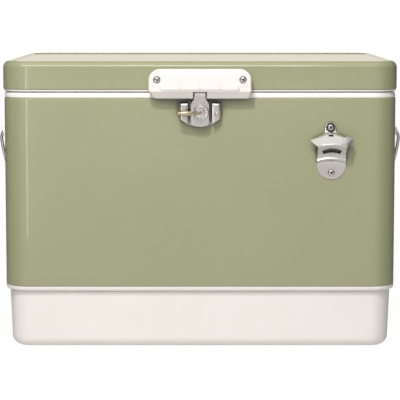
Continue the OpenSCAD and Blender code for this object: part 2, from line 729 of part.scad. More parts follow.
module handle_plate(s) {
    w = 2 * (plate_span_y + 12);
    h = 2 * (plate_span_z + 9);
    color(steel) on_side(s, 0, 0) difference() {
        union() {
            translate([0, plate_z, 0.02]) linear_extrude(fitting_t) rounded(w, h, 8);
            for (e = [-1, 1]) translate([e * (ear_y + ear_t / 2) - ear_t / 2, bail_z, 0.5]) rotate([0, 90, 0])
                linear_extrude(ear_t) {
                    translate([-pivot_out + 0.5, 0]) circle(5);
                    translate([-pivot_out + 0.5, -5]) square([pivot_out - 0.5, 10]);
                }
        }
        translate([-plate_span_y - 20, bail_z, pivot_out]) rotate([0, 90, 0])
            cylinder(h = 2 * plate_span_y + 40, r = bail_r + fit);
        for (sy = [-1, 1], sz = [-1, 1]) translate([sy * plate_span_y, plate_z + sz * plate_span_z, -1])
            cylinder(h = 6, r = screw_r + fit);
    }
}

module handle_screws(s) {
    color(steel) for (sy = [-1, 1], sz = [-1, 1])
        on_side(s, sy * plate_span_y, plate_z + sz * plate_span_z)
            translate([0, 0, fitting_t + 0.06]) pan_screw(3.8, 1.9, screw_r, screw_l);
}

// the handle hangs from its pivots: the arms bow outwards, then lean back to the wall
module bail(s) {
    grip_out = bail_r + clear;
    grip_z = bail_z - bail_drop;
    // an arm's centreline: [out from the wall, height]
    arm = [[pivot_out - 1.5, bail_z + 0.4], [pivot_out, bail_z], [13.2, bail_z - 3.6], [16.9, bail_z - 8.8],
           [18, bail_z - 15.5], [grip_out, grip_z], [grip_out - 0.2, grip_z - 1]];
    end_y = ear_y + ear_t + 2;
    color(steel) on_side(s, 0, 0) {
        for (e = [-1, 1]) {
            translate([e * bail_w / 2 - bail_r, 0, 0]) rotate([0, -90, 0]) mirror([0, 0, 1])
                linear_extrude(bail_bar) polygon(ribbon(arm, bail_r - 0.1));
            translate([e > 0 ? bail_w / 2 : -end_y, bail_z, pivot_out]) rotate([0, 90, 0])
                cylinder(h = end_y - bail_w / 2, r = bail_r);
        }
        translate([-bail_w / 2, grip_z, grip_out]) rotate([0, 90, 0]) cylinder(h = bail_w, r = bail_r);
    }
}

// ---- drain -------------------------------------------------------------------

module drain_spout() {
    color(white) difference() {
        union() {
            at_drain(cavity_w / 2 - spout_in) cylinder(h = spout_end_x - cavity_w / 2 + spout_in, r = spout_r);
            at_drain(boss_x + washer_t) cylinder(h = flange_t, r = flange_r);
        }
        at_drain(cavity_w / 2 - spout_in - 1) cylinder(h = 80, r = drain_bore_r);
    }
}

module drain_washer() {
    color(grey_rubber) at_drain(boss_x + 0.02) difference() {
        cylinder(h = washer_t - 0.04, r = flange_r - 0.5);
        translate([0, 0, -1]) cylinder(h = 4, r = spout_r + 0.1);
    }
}

module drain_cap() {
    x0 = boss_x + washer_t + flange_t + clear;
    x1 = spout_end_x + 0.3 + seal_t + 0.05;
    color(white) difference() {
        union() {
            at_drain(x0) cylinder(h = x1 - x0 + cap_end_t, r = cap_r - 0.6);
            for (i = [0:11]) translate([x0, drain_y, drain_z]) rotate([i * 30, 0, 0])
                translate([0, -1.5, cap_r - 2]) cube([x1 - x0 + cap_end_t - 1, 3, 2]);
        }
        at_drain(x0 - 1) cylinder(h = x1 - x0 + 1, r = spout_r + 0.15);
    }
}

module drain_seal() {
    color(grey_rubber) at_drain(spout_end_x + 0.3) cylinder(h = seal_t, r = spout_r - 0.2);
}

base_tub();
body_belt();
body_liner();
body_foam();
catch_plate();
catch_rivets();
bottle_opener();
opener_screws();
handle_plate(-1);  // handle_plate_left
handle_plate(1);  // handle_plate_right
handle_screws(-1);  // handle_screws_left
handle_screws(1);  // handle_screws_right
hinge_leaf_body(-hinge_x);  // hinge_leaf_body_left
hinge_leaf_body(hinge_x);  // hinge_leaf_body_right
hinge_pin(-hinge_x);  // hinge_pin_left
hinge_pin(hinge_x);  // hinge_pin_right
hinge_screws_body();
drain_spout();
drain_washer();
lid_skin();
lid_foam();
lid_liner();
lid_gasket();
hinge_leaf_lid(-hinge_x);  // hinge_leaf_lid_left
hinge_leaf_lid(hinge_x);  // hinge_leaf_lid_right
hinge_screws_lid();
front_grip();
grip_screws();
hasp_pin();
hasp_strap();
lock_disc();
lock_lever();
lock_cam();
lock_washer();
bail(-1);  // bail_left
bail(1);  // bail_right
drain_cap();
drain_seal();
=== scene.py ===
"""Looks of a retro cooler chest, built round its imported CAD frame.

Lengths are millimetres until a mesh is made, then metres. The front faces -Y and +Z is up.
Places come from the CAD nodes' boxes. A shape's own radii and steps stand in its function.
"""

import json
import math

import bmesh
import bpy
from mathutils import Matrix, Vector


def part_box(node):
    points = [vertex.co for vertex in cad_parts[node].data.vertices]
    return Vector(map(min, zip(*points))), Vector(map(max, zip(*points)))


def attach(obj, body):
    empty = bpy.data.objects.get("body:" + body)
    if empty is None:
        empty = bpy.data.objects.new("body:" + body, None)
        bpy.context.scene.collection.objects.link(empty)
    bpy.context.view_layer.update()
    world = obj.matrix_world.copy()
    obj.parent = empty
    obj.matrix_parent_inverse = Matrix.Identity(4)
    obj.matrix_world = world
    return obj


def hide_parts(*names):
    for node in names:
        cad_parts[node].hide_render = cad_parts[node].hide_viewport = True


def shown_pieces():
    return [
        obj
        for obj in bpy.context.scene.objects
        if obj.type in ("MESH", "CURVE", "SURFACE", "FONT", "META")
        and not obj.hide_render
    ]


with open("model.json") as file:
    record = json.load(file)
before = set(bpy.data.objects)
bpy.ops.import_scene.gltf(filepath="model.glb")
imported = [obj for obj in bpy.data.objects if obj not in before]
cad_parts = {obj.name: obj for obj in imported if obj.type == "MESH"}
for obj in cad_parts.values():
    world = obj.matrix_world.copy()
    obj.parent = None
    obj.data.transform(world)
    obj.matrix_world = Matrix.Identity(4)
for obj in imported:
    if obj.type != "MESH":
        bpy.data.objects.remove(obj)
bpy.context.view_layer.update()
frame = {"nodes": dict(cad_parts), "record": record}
MM = 0.001
WELD = 1e-7  # metres: points closer than this are one


def sind(degrees):
    return math.sin(math.radians(degrees))


def cosd(degrees):
    return math.cos(math.radians(degrees))


def spin(degrees, axis):
    return Matrix.Rotation(math.radians(degrees), 4, axis)


# ---------------------------------------------------------------------------
# places that the frame gives


def box(node):
    """A CAD node's lowest and highest corner, in millimetres."""
    low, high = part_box(node)
    return Vector(low) / MM, Vector(high) / MM


belt_low, belt_high = box("body_belt")
lid_low, lid_high = box("lid_skin")
grip_low, grip_high = box("front_grip")
opener_low = box("bottle_opener")[0]
drain = sum(box("drain_spout"), Vector()) / 2
body_w = belt_high.x - belt_low.x
front_y = belt_low.y
body_d = -2 * front_y
belt_z, belt_top = belt_low.z, belt_high.z
rim_top = box("body_liner")[1].z
lid_w, lid_d = lid_high.x - lid_low.x, lid_high.y - lid_low.y
lid_z, lid_top = lid_low.z, lid_high.z
CORNER_R = 37.5
LID_R = CORNER_R + (lid_w - body_w) / 2
WALL = 41
CAVITY_R = 18
GRIP_SCREW_X, GRIP_SCREW_Z = 64, 408


def at_front(x, z, out=0):
    """Local x to the right, y up and z out of the body's front."""
    return Matrix.Translation((x, front_y - out, z)) @ spin(90, "X")


def at_back(x, z, out=0):
    return Matrix.Translation((x, -front_y + out, z)) @ spin(180, "Z") @ spin(90, "X")


def at_side(side, y, z, out=0):
    """Local z points out of the right-hand wall (side 1) or the left-hand one (side -1)."""
    turn = spin(side * 90, "Z") @ spin(90, "X")
    return Matrix.Translation((side * (body_w / 2 + out), y, z)) @ turn


# ---------------------------------------------------------------------------
# mesh builders


def placed(name, mesh):
    made = bpy.data.objects.new(name, mesh)
    bpy.context.scene.collection.objects.link(made)
    return made


def solid(name, points, faces, sharp=35):
    """A smooth-shaded object whose edges past the angle `sharp` stay crisp."""
    mesh = bpy.data.meshes.new(name)
    mesh.from_pydata([Vector(p) * MM for p in points], [], faces)
    work = bmesh.new()
    work.from_mesh(mesh)
    bmesh.ops.remove_doubles(work, verts=work.verts, dist=WELD)
    bmesh.ops.delete(work, geom=[v for v in work.verts if not v.link_faces], context="VERTS")
    bmesh.ops.recalc_face_normals(work, faces=work.faces)
    shade(work, sharp)
    work.to_mesh(mesh)
    work.free()
    return placed(name, mesh)


def shade(work, sharp):
    for face in work.faces:
        face.smooth = True
    for edge in work.edges:
        edge.smooth = len(edge.link_faces) != 2 or edge.calc_face_angle(0) < math.radians(sharp)


def ring(w, d, r, inset, z, steps=24):
    """Points round a rounded rectangle, a given distance in from its outline."""
    points = []
    for k, (sx, sy) in enumerate([(1, 1), (-1, 1), (-1, -1), (1, -1)]):
        for i in range(steps + 1):
            a = math.radians(90 * (k + i / steps))
            points.append((sx * (w / 2 - r) + (r - inset) * math.cos(a),
                           sy * (d / 2 - r) + (r - inset) * math.sin(a), z))
    return points


def loft(name, rings, closed=False, sharp=35, ladder=False):
    """A skin over rings of equal length: closed like a tyre, or with a cap at each end.

    A ladder cap is a row of quads from one side to the other, for rings that start at mid-height.
    """
    n = len(rings[0])
    points = [p for one in rings for p in one]
    faces = []
    for j in range(len(rings) if closed else len(rings) - 1):
        a, b = j * n, (j + 1) % len(rings) * n
        faces += [(a + i, a + (i + 1) % n, b + (i + 1) % n, b + i) for i in range(n)]
    for start in [] if closed else [0, (len(rings) - 1) * n]:
        if ladder:
            faces += [(start + i, start + i + 1, start + n - 2 - i, start + n - 1 - i)
                      for i in range(n // 2 - 1)]
        else:
            faces.append(tuple(range(start, start + n)))
    return solid(name, points, faces, sharp)


def moved(matrix, points):
    return [tuple(matrix @ Vector(p)) for p in points]


def lathe_rings(profile, matrix, steps=48, wave=None):
    """Rings of a turned shape: the profile's points are (radius, height) along local z."""
    rings = []
    for r, h in profile:
        turn = [2 * math.pi * i / steps for i in range(steps)]
        grow = [wave(a, h) if wave else 0 for a in turn]
        rings.append(moved(matrix, [((r + g) * math.cos(a), (r + g) * math.sin(a), h)
                                    for a, g in zip(turn, grow)]))
    return rings


def lathe(name, profile, matrix, steps=48, closed=False):
    return loft(name, lathe_rings(profile, matrix, steps), closed)


def two_sided(name, us, vs, front, back, sharp):
    """A closed solid between two grids of points, front(u, v) and back(u, v)."""
    n = len(us) * len(vs)
    points = [front(u, v) for u in us for v in vs] + [back(u, v) for u in us for v in vs]
    faces, rim = [], {}
    for i in range(len(us) - 1):
        for j in range(len(vs) - 1):
            a = i * len(vs) + j
            quad = [a, a + len(vs), a + len(vs) + 1, a + 1]
            faces += [quad, [v + n for v in reversed(quad)]]
            for p, q in zip(quad, quad[1:] + quad[:1]):
                if (q, p) in rim:
                    del rim[(q, p)]
                else:
                    rim[(p, q)] = True
    faces += [[q, p, p + n, q + n] for p, q in rim]
    return solid(name, points, faces, sharp)


def prism(name, outline, thickness, matrix, sharp=35):
    """A flat plate: the outline in local x and y, standing from z = 0 to its thickness."""
    low = moved(matrix, [(x, y, 0) for x, y in outline])
    high = moved(matrix, [(x, y, thickness) for x, y in outline])
    return loft(name, [low, high], sharp=sharp)


def smooth_path(points, per=8):
    """Catmull-Rom points through the given ones."""
    pts = [Vector(p) for p in points]
    pts = [2 * pts[0] - pts[1]] + pts + [2 * pts[-1] - pts[-2]]
    out = []
    for a, b, c, d in zip(pts, pts[1:], pts[2:], pts[3:]):
        for i in range(per):
            t = i / per
            out.append(0.5 * (2 * b + (c - a) * t + (2 * a - 5 * b + 4 * c - d) * t * t
                              + (3 * b - a - 3 * c + d) * t ** 3))
    return out + [pts[-2]]


def heading(path, i):
    return (path[min(i + 1, len(path) - 1)] - path[max(i - 1, 0)]).normalized()


def tube(name, path, radii, steps=20):
    """A round bar along a path, closed at both ends."""
    path = [Vector(p) for p in path]
    side = Vector((0, 0, 1)) if abs((path[1] - path[0]).normalized().z) < 0.9 else Vector((1, 0, 0))
    rings = []
    for i, p in enumerate(path):
        along = heading(path, i)
        side = (side - along * side.dot(along)).normalized()
        other = along.cross(side)
        turn = [2 * math.pi * k / steps for k in range(steps)]
        rings.append([p + radii[i] * (math.cos(a) * side + math.sin(a) * other) for a in turn])
    return loft(name, rings, sharp=50)


def join(name, parts):
    """One object from several, with their meshes as they are."""
    work = bmesh.new()
    for part in parts:
        work.from_mesh(part.data)
        bpy.data.objects.remove(part)
    mesh = bpy.data.meshes.new(name)
    work.to_mesh(mesh)
    work.free()
    return placed(name, mesh)


def cut(target, cutter, sharp=35):
    """Takes the cutter's shape out of the target's mesh."""
    trim = target.modifiers.new("cut", "BOOLEAN")
    trim.operation, trim.solver, trim.object = "DIFFERENCE", "EXACT", cutter
    scene_now = bpy.context.evaluated_depsgraph_get()
    scene_now.update()
    result = bpy.data.meshes.new_from_object(target.evaluated_get(scene_now))
    target.modifiers.remove(trim)
    bpy.data.objects.remove(cutter)
    work = bmesh.new()
    work.from_mesh(result)
    bmesh.ops.remove_doubles(work, verts=work.verts, dist=WELD)
    shade(work, sharp)
    work.to_mesh(target.data)
    work.free()


def soften(target, width, segments=3, limit=40):
    """Rounds the edges sharper than the limit, in millimetres."""
    bevel = target.modifiers.new("round edges", "BEVEL")
    bevel.width, bevel.segments = width * MM, segments
    bevel.limit_method, bevel.angle_limit = "ANGLE", math.radians(limit)
    weigh = target.modifiers.new("even normals", "WEIGHTED_NORMAL")
    weigh.keep_sharp = True


def dress(piece, body, slot, *nodes):
    """Gives a piece its material, its body and the CAD nodes that it stands for."""
    piece.data.materials.clear()
    piece.data.materials.append(MATERIALS[slot])
    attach(piece, body)
    if nodes:
        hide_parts(*nodes)
    return piece


# ---------------------------------------------------------------------------
# materials


class Tree:
    """A few short-hands for building a node tree."""

    def __init__(self, tree):
        self.tree = tree

    def add(self, kind, **settings):
        node = self.tree.nodes.new(kind)
        for key, value in settings.items():
            setattr(node, key, value)
        return node

    def link(self, a, b):
        self.tree.links.new(a, b)

    def span(self, source, from_low, from_high, low=0, high=1):
        """Maps from_low to from_high onto low to high, and stops at its ends."""
        made = self.add("ShaderNodeMapRange")
        ends = {"From Min": from_low, "From Max": from_high, "To Min": low, "To Max": high}
        for key, value in ends.items():
            made.inputs[key].default_value = value
        self.link(source, made.inputs["Value"])
        return made.outputs["Result"]

    def blend(self, factor, a, b):
        mix = self.add("ShaderNodeMix", data_type="RGBA")
        for socket, value in ((mix.inputs[6], a), (mix.inputs[7], b)):
            if isinstance(value, tuple):
                socket.default_value = (*value, 1)
            else:
                self.link(value, socket)
        self.link(factor, mix.inputs[0])
        return mix.outputs[2]


class Nodes(Tree):
    """A material's tree, round its Principled shader."""

    def __init__(self, name):
        self.material = bpy.data.materials.new(name)
        self.material.use_nodes = True
        super().__init__(self.material.node_tree)
        self.shader = self.tree.nodes["Principled BSDF"]
        self.place = self.add("ShaderNodeTexCoord").outputs["Object"]

    def set(self, **values):
        for key, value in values.items():
            self.shader.inputs[key.replace("_", " ")].default_value = value

    def noise(self, scale, detail, stretch=(1, 1, 1)):
        """Noise in metres: scale is how many blotches fit into one."""
        space = self.add("ShaderNodeMapping")
        space.inputs["Scale"].default_value = stretch
        self.link(self.place, space.inputs["Vector"])
        noise = self.add("ShaderNodeTexNoise")
        noise.inputs["Scale"].default_value = scale
        noise.inputs["Detail"].default_value = detail
        self.link(space.outputs["Vector"], noise.inputs["Vector"])
        return noise.outputs["Fac"]

    def ramp(self, source, low, high):
        """Maps noise from about 0.3 to 0.7 onto a range of values."""
        return self.span(source, 0.3, 0.7, low, high)

    def painted_shade(self, reach, low=0, high=1):
        """Painted shade: runs from low in a corner to high in the open, looking a reach in millimetres round.
        """
        near = self.add("ShaderNodeAmbientOcclusion", samples=6)
        near.inputs["Distance"].default_value = reach * MM
        return self.ramp(near.outputs["AO"], low, high)

    def upward(self, low, high):
        """Runs from 0 to 1 as a face turns up: low and high are the normal's z there."""
        face, parts = self.add("ShaderNodeNewGeometry"), self.add("ShaderNodeSeparateXYZ")
        self.link(face.outputs["Normal"], parts.inputs["Vector"])
        return self.span(parts.outputs["Z"], low, high)

    def most(self, a, b):
        made = self.add("ShaderNodeMath", operation="MAXIMUM", use_clamp=True)
        self.link(a, made.inputs[0])
        self.link(b, made.inputs[1])
        return made.outputs[0]

    def bump(self, *layers):
        """Each layer is (height source, strength, depth in mm); they add up."""
        below = None
        for source, strength, depth in layers:
            bump = self.add("ShaderNodeBump")
            bump.inputs["Strength"].default_value = strength
            bump.inputs["Distance"].default_value = depth * MM
            self.link(source, bump.inputs["Height"])
            if below:
                self.link(below, bump.inputs["Normal"])
            below = bump.outputs["Normal"]
        self.link(below, self.shader.inputs["Normal"])

    def colour(self, source):
        self.link(source, self.shader.inputs["Base Color"])

    def roughness(self, source):
        self.link(source, self.shader.inputs["Roughness"])


def paint(name, shade):
    """Baked enamel on steel: faint clouding, orange peel, a clear gloss, and painted shade in corners and
    under parts that stand off it.
    """
    m = Nodes(name)
    cloud = m.ramp(m.noise(6, 4), 0, 1)
    speck = m.ramp(m.noise(260, 2), 0, 1)
    tint = m.blend(cloud, (0.338, 0.354, 0.208), (0.358, 0.372, 0.223))
    fresh = m.blend(m.ramp(speck, 0, 0.25), tint, (0.372, 0.388, 0.238))
    # painted shade: the colour darkens to a near black green near the opener, the grip, the catch and other
    # close parts, except on faces turned up; shade sets how dark it goes
    unshaded = m.most(m.painted_shade(28, shade), m.upward(0.05, 0.3))
    m.colour(m.blend(unshaded, (0.016, 0.017, 0.006), fresh))
    m.roughness(m.ramp(m.noise(14, 5), 0.30, 0.40))
    m.set(Coat_Weight=0.9, Coat_Roughness=0.045, Coat_IOR=1.5, Specular_IOR_Level=0.3)
    m.bump((m.noise(330, 2), 0.10, 0.02))
    wave = m.add("ShaderNodeBump")
    wave.inputs["Strength"].default_value, wave.inputs["Distance"].default_value = 0.10, 0.25 * MM
    m.link(m.noise(11, 2), wave.inputs["Height"])
    m.link(wave.outputs["Normal"], m.shader.inputs["Coat Normal"])
    return m.material


def plastic():
    """Moulded ivory plastic: a fine spark-eroded grain, slight warm clouding, and grey painted shade in
    grooves and gaps.
    """
    m = Nodes("ivory_plastic")
    cloud = m.ramp(m.noise(7, 4), 0, 1)
    clean = m.blend(cloud, (0.915, 0.878, 0.850), (0.940, 0.907, 0.882))
    # painted shade: greyer in grooves, wells and narrow gaps
    m.colour(m.blend(m.painted_shade(2.5), (0.72, 0.70, 0.67), clean))
    m.roughness(m.ramp(m.noise(22, 4), 0.34, 0.46))
    m.set(Specular_IOR_Level=0.5, Coat_Weight=0.12, Coat_Roughness=0.25)
    m.bump((m.noise(1500, 2), 0.12, 0.03), (m.noise(12, 2), 0.10, 0.5))
    return m.material


def brushed(name, stretch, reach, shade):
    """Stainless sheet with its rolling grain drawn out along one axis, and a brown-black painted shade in
    corners and beside raised parts.
    """
    m = Nodes(name)
    grain = m.noise(900, 3, stretch)
    cloud = m.ramp(m.noise(40, 3), 0, 1)
    clean = m.blend(cloud, (0.72, 0.69, 0.665), (0.77, 0.745, 0.72))
    # painted shade: brown-black where the sheet meets the wall and in its corners, to a reach in millimetres
    m.colour(m.blend(m.painted_shade(reach, shade), (0.036, 0.019, 0.008), clean))
    m.roughness(m.ramp(grain, 0.24, 0.33))
    m.set(Metallic=1.0)
    m.bump((grain, 0.02, 0.01), (m.noise(60, 2), 0.04, 0.1))
    return m.material


def polished():
    """Bright nickel-steel with the slight haze of handling, and painted shade where parts meet and in
    hollows.
    """
    m = Nodes("polished_steel")
    haze = m.noise(55, 4)
    clean = m.blend(m.ramp(haze, 0, 1), (0.74, 0.72, 0.69), (0.80, 0.785, 0.76))
    # painted shade: near black in hollows and where parts meet
    m.colour(m.blend(m.painted_shade(5, -1), (0.03, 0.026, 0.02), clean))
    m.roughness(m.ramp(haze, 0.24, 0.32))
    m.set(Metallic=1.0)
    m.bump((m.noise(260, 2), 0.012, 0.01))
    return m.material


def bronze():
    """Worn warm lacquer on the lever, with painted shade in its crevices."""
    m = Nodes("warm_bronze")
    wear = m.noise(90, 4)
    clean = m.blend(m.ramp(wear, 0, 1), (0.62, 0.50, 0.34), (0.74, 0.63, 0.46))
    # painted shade: dark in the crevices round the lever
    m.colour(m.blend(m.painted_shade(4), (0.05, 0.03, 0.015), clean))
    m.roughness(m.ramp(wear, 0.22, 0.34))
    m.set(Metallic=1.0)
    m.bump((m.noise(240, 2), 0.05, 0.04))
    return m.material


def rubber():
    m = Nodes("grey_rubber")
    m.colour(m.blend(m.ramp(m.noise(60, 3), 0, 1), (0.27, 0.27, 0.26), (0.33, 0.33, 0.315)))
    m.roughness(m.ramp(m.noise(90, 3), 0.60, 0.78))
    m.bump((m.noise(800, 2), 0.15, 0.05))
    return m.material


def foam():
    m = Nodes("rigid_foam")
    m.colour(m.blend(m.ramp(m.noise(120, 4), 0, 1), (0.80, 0.70, 0.46), (0.88, 0.79, 0.55)))
    m.roughness(m.ramp(m.noise(300, 2), 0.8, 0.95))
    m.bump((m.noise(700, 3), 0.5, 0.4))
    return m.material


# The body's enamel and the strap's steel are second looks of the slots green_paint and stainless: the same
# finishes, the body's with deeper painted shade and the strap's with fainter painted shade
MATERIALS = {
    "green_paint": paint("lid_enamel", 0.7),
    "green_paint_deep_shade": paint("body_enamel_deep_shade", -2.2),
    "white_plastic": plastic(),
    "stainless": brushed("stainless_sheet", (1, 1, 0.04), 15, -1.6),
    "stainless_faint_shade": brushed("strap_sheet_faint_shade", (1, 1, 0.04), 4, 0),
    "polished_steel": polished(),
    "warm_bronze": bronze(),
    "grey_rubber": rubber(),
    "foam": foam(),
}

# ---------------------------------------------------------------------------
# shell pieces

BODY = (body_w, body_d, CORNER_R)
LID = (lid_w, lid_d, LID_R)
CAVITY = (body_w - 2 * WALL, body_d - 2 * WALL, CAVITY_R)
LINER = (CAVITY[0] + 6, CAVITY[1] + 6, CAVITY_R + 3)
PLUG = (CAVITY[0] - 6, CAVITY[1] - 6, CAVITY_R - 3)


def section(outline, points):
    """Rings round an outline for a list of (distance in from it, height)."""
    return [ring(*outline, inset, z) for inset, z in points]


def quarter(r, steps=10):
    """A quarter circle's points from (r, 0) to (0, r)."""
    return [(r * cosd(90 * i / steps), r * sind(90 * i / steps)) for i in range(steps + 1)]


def base_tub():
    low_in, edge_r = 8.8, 15
    inner = [(27, 3), (16, 5.2), (12.2, 14), (11, belt_z - 8), (4, belt_z), (4, belt_z + 12),
             (1.2, belt_z + 12), (1.2, belt_z)]
    # from under the belt's hem, round the lip and into the groove: (distance in, distance down)
    lip = [(1.3, 1.4), (0.7, 1.6), (0.2, 2.0), (0, 2.7), (0.1, 4.8), (0.5, 6.1), (1.4, 7.3), (2.8, 8.3),
           (4.4, 8.8), (6.6, 8.9), (7.2, 9.2), (7.2, 9.7), (6.7, 9.9), (6.2, 10.2), (6.0, 10.8), (6.2, 14)]
    lip = [(x, belt_z - down) for x, down in lip]
    foot = [(low_in + edge_r - y, edge_r - x) for x, y in reversed(quarter(edge_r))]
    tub = loft("base_shell", section(BODY, inner + lip + foot), ladder=True)
    well = [(0, -8), (17.5, -8), (17.5, 3), (0, 3)]
    cut(tub, lathe("drain_well", well, at_side(1, drain.y, drain.z, -5)))
    return dress(tub, "chest", "white_plastic", "base_tub")


def body_belt():
    roll = 2.2
    hem = [(0.9, belt_z - 1.25), (0.4, belt_z - 1.0), (0.08, belt_z - 0.3), (0, belt_z + 0.7),
           (0, belt_z + 20)]
    top = [(roll - x, belt_top - roll + y) for x, y in quarter(roll, 8)]
    inside = [(roll, belt_top - 0.8), (1.1, belt_top - 2.6), (0.85, belt_top - 4), (0.85, belt_z + 20)]
    belt = loft("steel_belt", section(BODY, hem + top + inside), closed=True)
    seam = slab("belt_seam", box_outline(12, belt_top - belt_z - 3, 0.6), 1.0,
                at_back(0, (belt_z + belt_top) / 2 - 1, -0.2), edge=0.7)
    belt = dress(join("steel_belt", [belt, seam]), "chest", "green_paint", "body_belt")
    # the belt takes the enamel with the deeper painted shade
    belt.data.materials[0] = MATERIALS["green_paint_deep_shade"]
    return belt


def body_liner():
    floor_z, edge_r = 52, 12
    under = section(LINER, [(16, floor_z - 3), (9, floor_z - 2), (3, floor_z + 3), (0, floor_z + 12),
                            (0, rim_top - 4)])
    rim = section(BODY, [(4, rim_top - 4), (4, belt_top - 12), (2.6, belt_top - 12), (2.6, belt_top - 0.2),
                         (1.5, belt_top + 0.1), (0.7, belt_top + 0.5), (0.3, belt_top + 1.4),
                         (0.4, belt_top + 2.6), (0.7, belt_top + 4.4), (1.1, belt_top + 6),
                         (1.6, rim_top + 0.5), (2.4, rim_top + 1.3), (3.4, rim_top + 1.7),
                         (5.2, rim_top + 1.8), (9, rim_top + 1.8), (11, rim_top + 1.3),
                         (12.5, rim_top + 0.4), (14.5, rim_top)])
    mouth = [(-4, rim_top), (-2.4, rim_top - 0.2), (-1.1, rim_top - 0.8), (-0.3, rim_top - 1.8),
             (0, rim_top - 3.2)]
    bowl = [(edge_r - x, floor_z + edge_r - y) for x, y in quarter(edge_r)]
    liner = loft("liner_shell", under + rim + section(CAVITY, mouth + bowl), ladder=True)
    outlet = lathe("outlet", [(0, -60), (10.7, -60), (10.7, 0), (0, 0)], at_side(1, drain.y, drain.z, 0))
    cut(liner, outlet)
    return dress(liner, "chest", "white_plastic", "body_liner")


def lid_skin():
    r, sink = 10, lid_top - 1.4
    hem = [(2.6, lid_z + 1.4), (2.6, lid_z + 0.1), (1.2, lid_z), (0.45, lid_z + 0.15), (0.05, lid_z + 0.7),
           (0, lid_z + 1.6), (0, lid_z + 12)]
    edge = [(r - x, lid_top - r + y) for x, y in quarter(r)]
    step = [(12.6, lid_top), (13.3, lid_top - 0.1), (13.8, lid_top - 0.4), (14.1, lid_top - 0.8),
            (14.5, lid_top - 1.2), (15.4, sink)]
    crown = [(30, sink)]
    pan = loft("lid_pan", section(LID, hem + edge + step + crown), ladder=True)
    return dress(pan, "lid", "green_paint", "lid_skin")


def lid_liner():
    z = lid_z - 2.4
    flange = section(LID, [(3.4, lid_z + 1.6), (3.4, lid_z - 0.1), (1.6, lid_z - 0.1), (1.1, lid_z - 0.5),
                           (1.1, z + 0.2), (1.4, z - 0.4), (2.0, z - 0.6), (3.4, z - 0.6), (3.9, z - 0.4),
                           (4.2, z)])
    rib = section(PLUG, [(-2.4, z), (-0.8, z - 0.4), (0, z - 1.5), (0, z - 4.2), (0.4, z - 5.8),
                         (1.4, z - 7.2), (3, z - 8), (11, z - 8), (12.4, z - 7.2), (13.2, z - 5.6),
                         (14.2, z - 1.6), (15.4, z - 0.4), (17.4, z)])
    inner = loft("lid_liner_shell", flange + rib, ladder=True)
    return dress(inner, "lid", "white_plastic", "lid_liner")


def lid_gasket():
    z = lid_z - 2.45
    lips = [(0, z), (0, z - 1.5), (0.35, z - 2.4), (1.1, z - 3), (1.9, z - 3), (2.5, z - 2.4), (3.5, z - 2.4),
            (4.1, z - 3), (4.9, z - 3), (5.65, z - 2.4), (6, z - 1.5), (6, z)]
    within = 20
    strip_run = section((lid_w - 2 * within, lid_d - 2 * within, LID_R - within), lips)
    return dress(loft("gasket_strip", strip_run, closed=True), "lid", "grey_rubber", "lid_gasket")


# ---------------------------------------------------------------------------
# plates, screws and outlines


def box_outline(w, h, r, steps=6):
    return [(x, y) for x, y, _ in ring(w, h, r, 0, 0, steps)]


def inset(outline, amount):
    """A closed outline, drawn anticlockwise, moved in by a small amount."""
    out = []
    for a, b, c in zip(outline[-1:] + outline, outline, outline[1:] + outline[:1]):
        u, v = (Vector(b) - Vector(a)).normalized(), (Vector(c) - Vector(b)).normalized()
        n, m = Vector((-u.y, u.x)), Vector((-v.y, v.x))
        out.append(tuple(Vector(b) + (n + m) * amount / max(1 + n.dot(m), 0.5)))
    return out


def slab(name, outline, thickness, matrix, edge):
    """A plate with a rounded front edge."""
    rings = [(0, 0)] + [(edge - x, thickness - edge + y) for x, y in quarter(edge, 4)]
    return loft(name, [moved(matrix, [(x, y, z) for x, y in inset(outline, i)]) for i, z in rings], sharp=50)


def fillet(corners, radii, steps=6):
    """A convex, anticlockwise outline with a rounded corner at each given point."""
    out = []
    for a, b, c, r in zip(corners[-1:] + corners, corners, corners[1:] + corners[:1], radii):
        a, b, c = Vector(a), Vector(b), Vector(c)
        u, v = (a - b).normalized(), (c - b).normalized()
        half = u.angle(v) / 2
        centre = b + (u + v).normalized() * r / math.sin(half)
        start, end = b + u * r / math.tan(half) - centre, b + v * r / math.tan(half) - centre
        for i in range(steps + 1):
            way = start.lerp(end, i / steps)
            out.append(tuple(centre + way.normalized() * r))
    return out


def screw_template(head_r, head_h, shank_l=12):
    """A pan-head screw with a cross recess, its head standing on z = 0."""
    profile = [(0, -shank_l), (1.6, -shank_l + 0.4), (1.95, -shank_l + 1), (1.95, 0), (head_r * 0.97, 0),
               (head_r, head_h * 0.2), (head_r * 0.985, head_h * 0.4), (head_r * 0.93, head_h * 0.6),
               (head_r * 0.82, head_h * 0.78), (head_r * 0.66, head_h * 0.9), (head_r * 0.45, head_h * 0.97),
               (head_r * 0.2, head_h), (0, head_h)]
    screw = lathe("screw", profile, Matrix.Identity(4), steps=32)
    arm, half = head_r * 0.58, head_r * 0.14
    plus = [(arm, half), (half, half), (half, arm), (-half, arm), (-half, half), (-arm, half),
            (-arm, -half), (-half, -half), (-half, -arm), (half, -arm), (half, -half), (arm, -half)]
    cross = loft("cross", [[(x * 0.45, y * 0.8, head_h * 0.15) for x, y in plus],
                           [(x, y, head_h * 0.75) for x, y in plus], [(x, y, head_h * 1.3) for x, y in plus]])
    cut(screw, cross)
    return screw


def stamp(name, template, matrices):
    """Copies of a template at several places, as one object."""
    work = bmesh.new()
    for matrix in matrices:
        start = len(work.verts)
        work.from_mesh(template.data)
        work.verts.ensure_lookup_table()
        move = Matrix(matrix)
        move.translation *= MM
        bmesh.ops.transform(work, matrix=move, verts=work.verts[start:])
    mesh = bpy.data.meshes.new(name)
    work.to_mesh(mesh)
    work.free()
    return placed(name, mesh)


def turned(matrix, degrees):
    return matrix @ spin(degrees, "Z")


# ---------------------------------------------------------------------------
# the lift grip

GRIP_FACE, GRIP_CORNER = 18.6, 17
grip_half = (grip_high.x - grip_low.x) / 2 + 0.6
band_top = grip_low.z + 10.6


